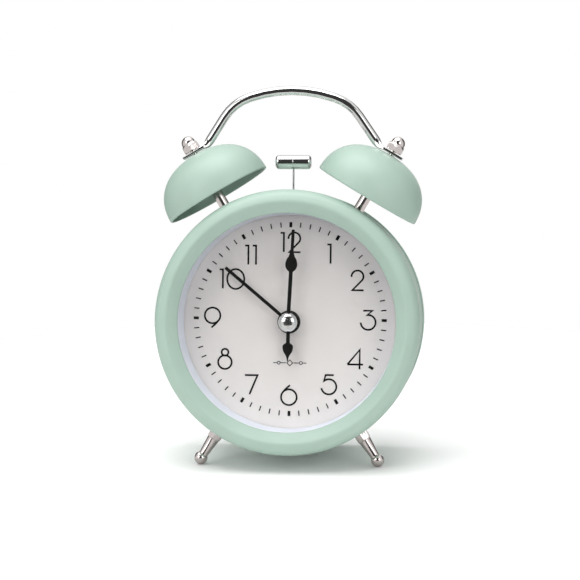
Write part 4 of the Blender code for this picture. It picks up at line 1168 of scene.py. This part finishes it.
def times(tree, *values):
    """The product of several outputs."""
    product = values[0]
    for value in values[1:]:
        node = node_of(tree, "ShaderNodeMath", operation="MULTIPLY")
        tree.links.new(product, node.inputs[0])
        tree.links.new(value, node.inputs[1])
        product = node.outputs["Value"]
    return product


def studio_world():
    """White to the camera's own rays, and a lit studio to all others.

    The studio is brightest overhead, a little dimmer all round, dark in front, where the room
    between the front lamps is, and dim in the two far corners.
    """
    world = bpy.data.worlds.new("studio")
    world.use_nodes = True
    bpy.context.scene.world = world
    tree = world.node_tree
    split = node_of(tree, "ShaderNodeSeparateXYZ")
    tree.links.new(node_of(tree, "ShaderNodeTexCoord").outputs["Generated"], split.inputs["Vector"])
    sideways = node_of(tree, "ShaderNodeMath", operation="ABSOLUTE")
    tree.links.new(split.outputs["X"], sideways.inputs[0])
    x, y, z = sideways.outputs["Value"], split.outputs["Y"], split.outputs["Z"]
    below = stepped(tree, z, 0.45, 0.80, 1, 0)
    room = times(tree, stepped(tree, y, -0.40, -0.15, 1, 0), stepped(tree, x, 0.40, 0.60, 1, 0),
                 stepped(tree, z, 0.80, 0.92, 1, 0))
    corners = times(tree, stepped(tree, y, 0.15, 0.35), stepped(tree, x, 0.30, 0.45),
                    stepped(tree, z, 0.60, 0.75, 1, 0))
    levels = ((below, SIDE_LEVEL), (room, FRONT_LEVEL), (corners, CORNER_LEVEL))
    light = times(tree, *[stepped(tree, zone, 0, 1, 1.0, level) for zone, level in levels])
    studio = tree.nodes["Background"]
    tree.links.new(light, studio.inputs["Color"])
    studio.inputs["Strength"].default_value = WORLD_STRENGTH
    white = node_of(tree, "ShaderNodeBackground")
    white.inputs["Color"].default_value = (1, 1, 1, 1)
    path = node_of(tree, "ShaderNodeLightPath")
    mix = node_of(tree, "ShaderNodeMixShader")
    tree.links.new(path.outputs["Is Camera Ray"], mix.inputs["Fac"])
    tree.links.new(studio.outputs["Background"], mix.inputs[1])
    tree.links.new(white.outputs["Background"], mix.inputs[2])
    tree.links.new(mix.outputs["Shader"], tree.nodes["World Output"].inputs["Surface"])


def floor():
    """A disc of pale paper, which glossy surfaces show darker than the camera sees it."""
    bm = bmesh.new()
    bmesh.ops.create_circle(bm, cap_ends=True, radius=FLOOR_RADIUS, segments=FINE_ROUND)
    made = add_mesh("floor", bm)
    made.location.z = cad_low.z
    paper = finish("floor_paper", (0.92, 0.92, 0.915), 0.75, shade=0.004, patch=60, grain=1.5,
                   relief=0.002, specular=0.2)
    tree = paper.node_tree
    shader = tree.nodes["Principled BSDF"]
    dimmed = node_of(tree, "ShaderNodeMix", data_type="RGBA", blend_type="MULTIPLY")
    path = node_of(tree, "ShaderNodeLightPath")
    tree.links.new(path.outputs["Is Glossy Ray"], dimmed.inputs["Factor"])
    tree.links.new(shader.inputs["Base Color"].links[0].from_socket, dimmed.inputs[6])
    dimmed.inputs[7].default_value = (*FLOOR_IN_GLOSS, 1)
    tree.links.new(dimmed.outputs[2], shader.inputs["Base Color"])
    shader.inputs["Emission Color"].default_value = (1, 1, 1, 1)
    shader.inputs["Emission Strength"].default_value = FLOOR_GLOW
    made.data.materials.append(paper)


def studio():
    bpy.context.scene.view_settings.view_transform = "Standard"
    studio_world()
    floor()
    for lamp in LAMPS:
        softbox(*lamp)


# ---------------- assembly

def build():
    bezel()
    drum()
    glass_and_dial()
    dial_print()
    hands()
    hand_cap()
    for side in ("left", "right"):
        turn = bell(side)
        post(side, turn)
        cap_nut(side, turn)
        foot(side)
    handle(turn)
    hammer()
    rear_cover()
    rest_pad()
    rear_screws()
    battery_door()
    knob("time_knob")
    knob("alarm_knob")
    alarm_switch()
    battery()
    battery_spring()
    carry_over()


camera()
build()
studio()
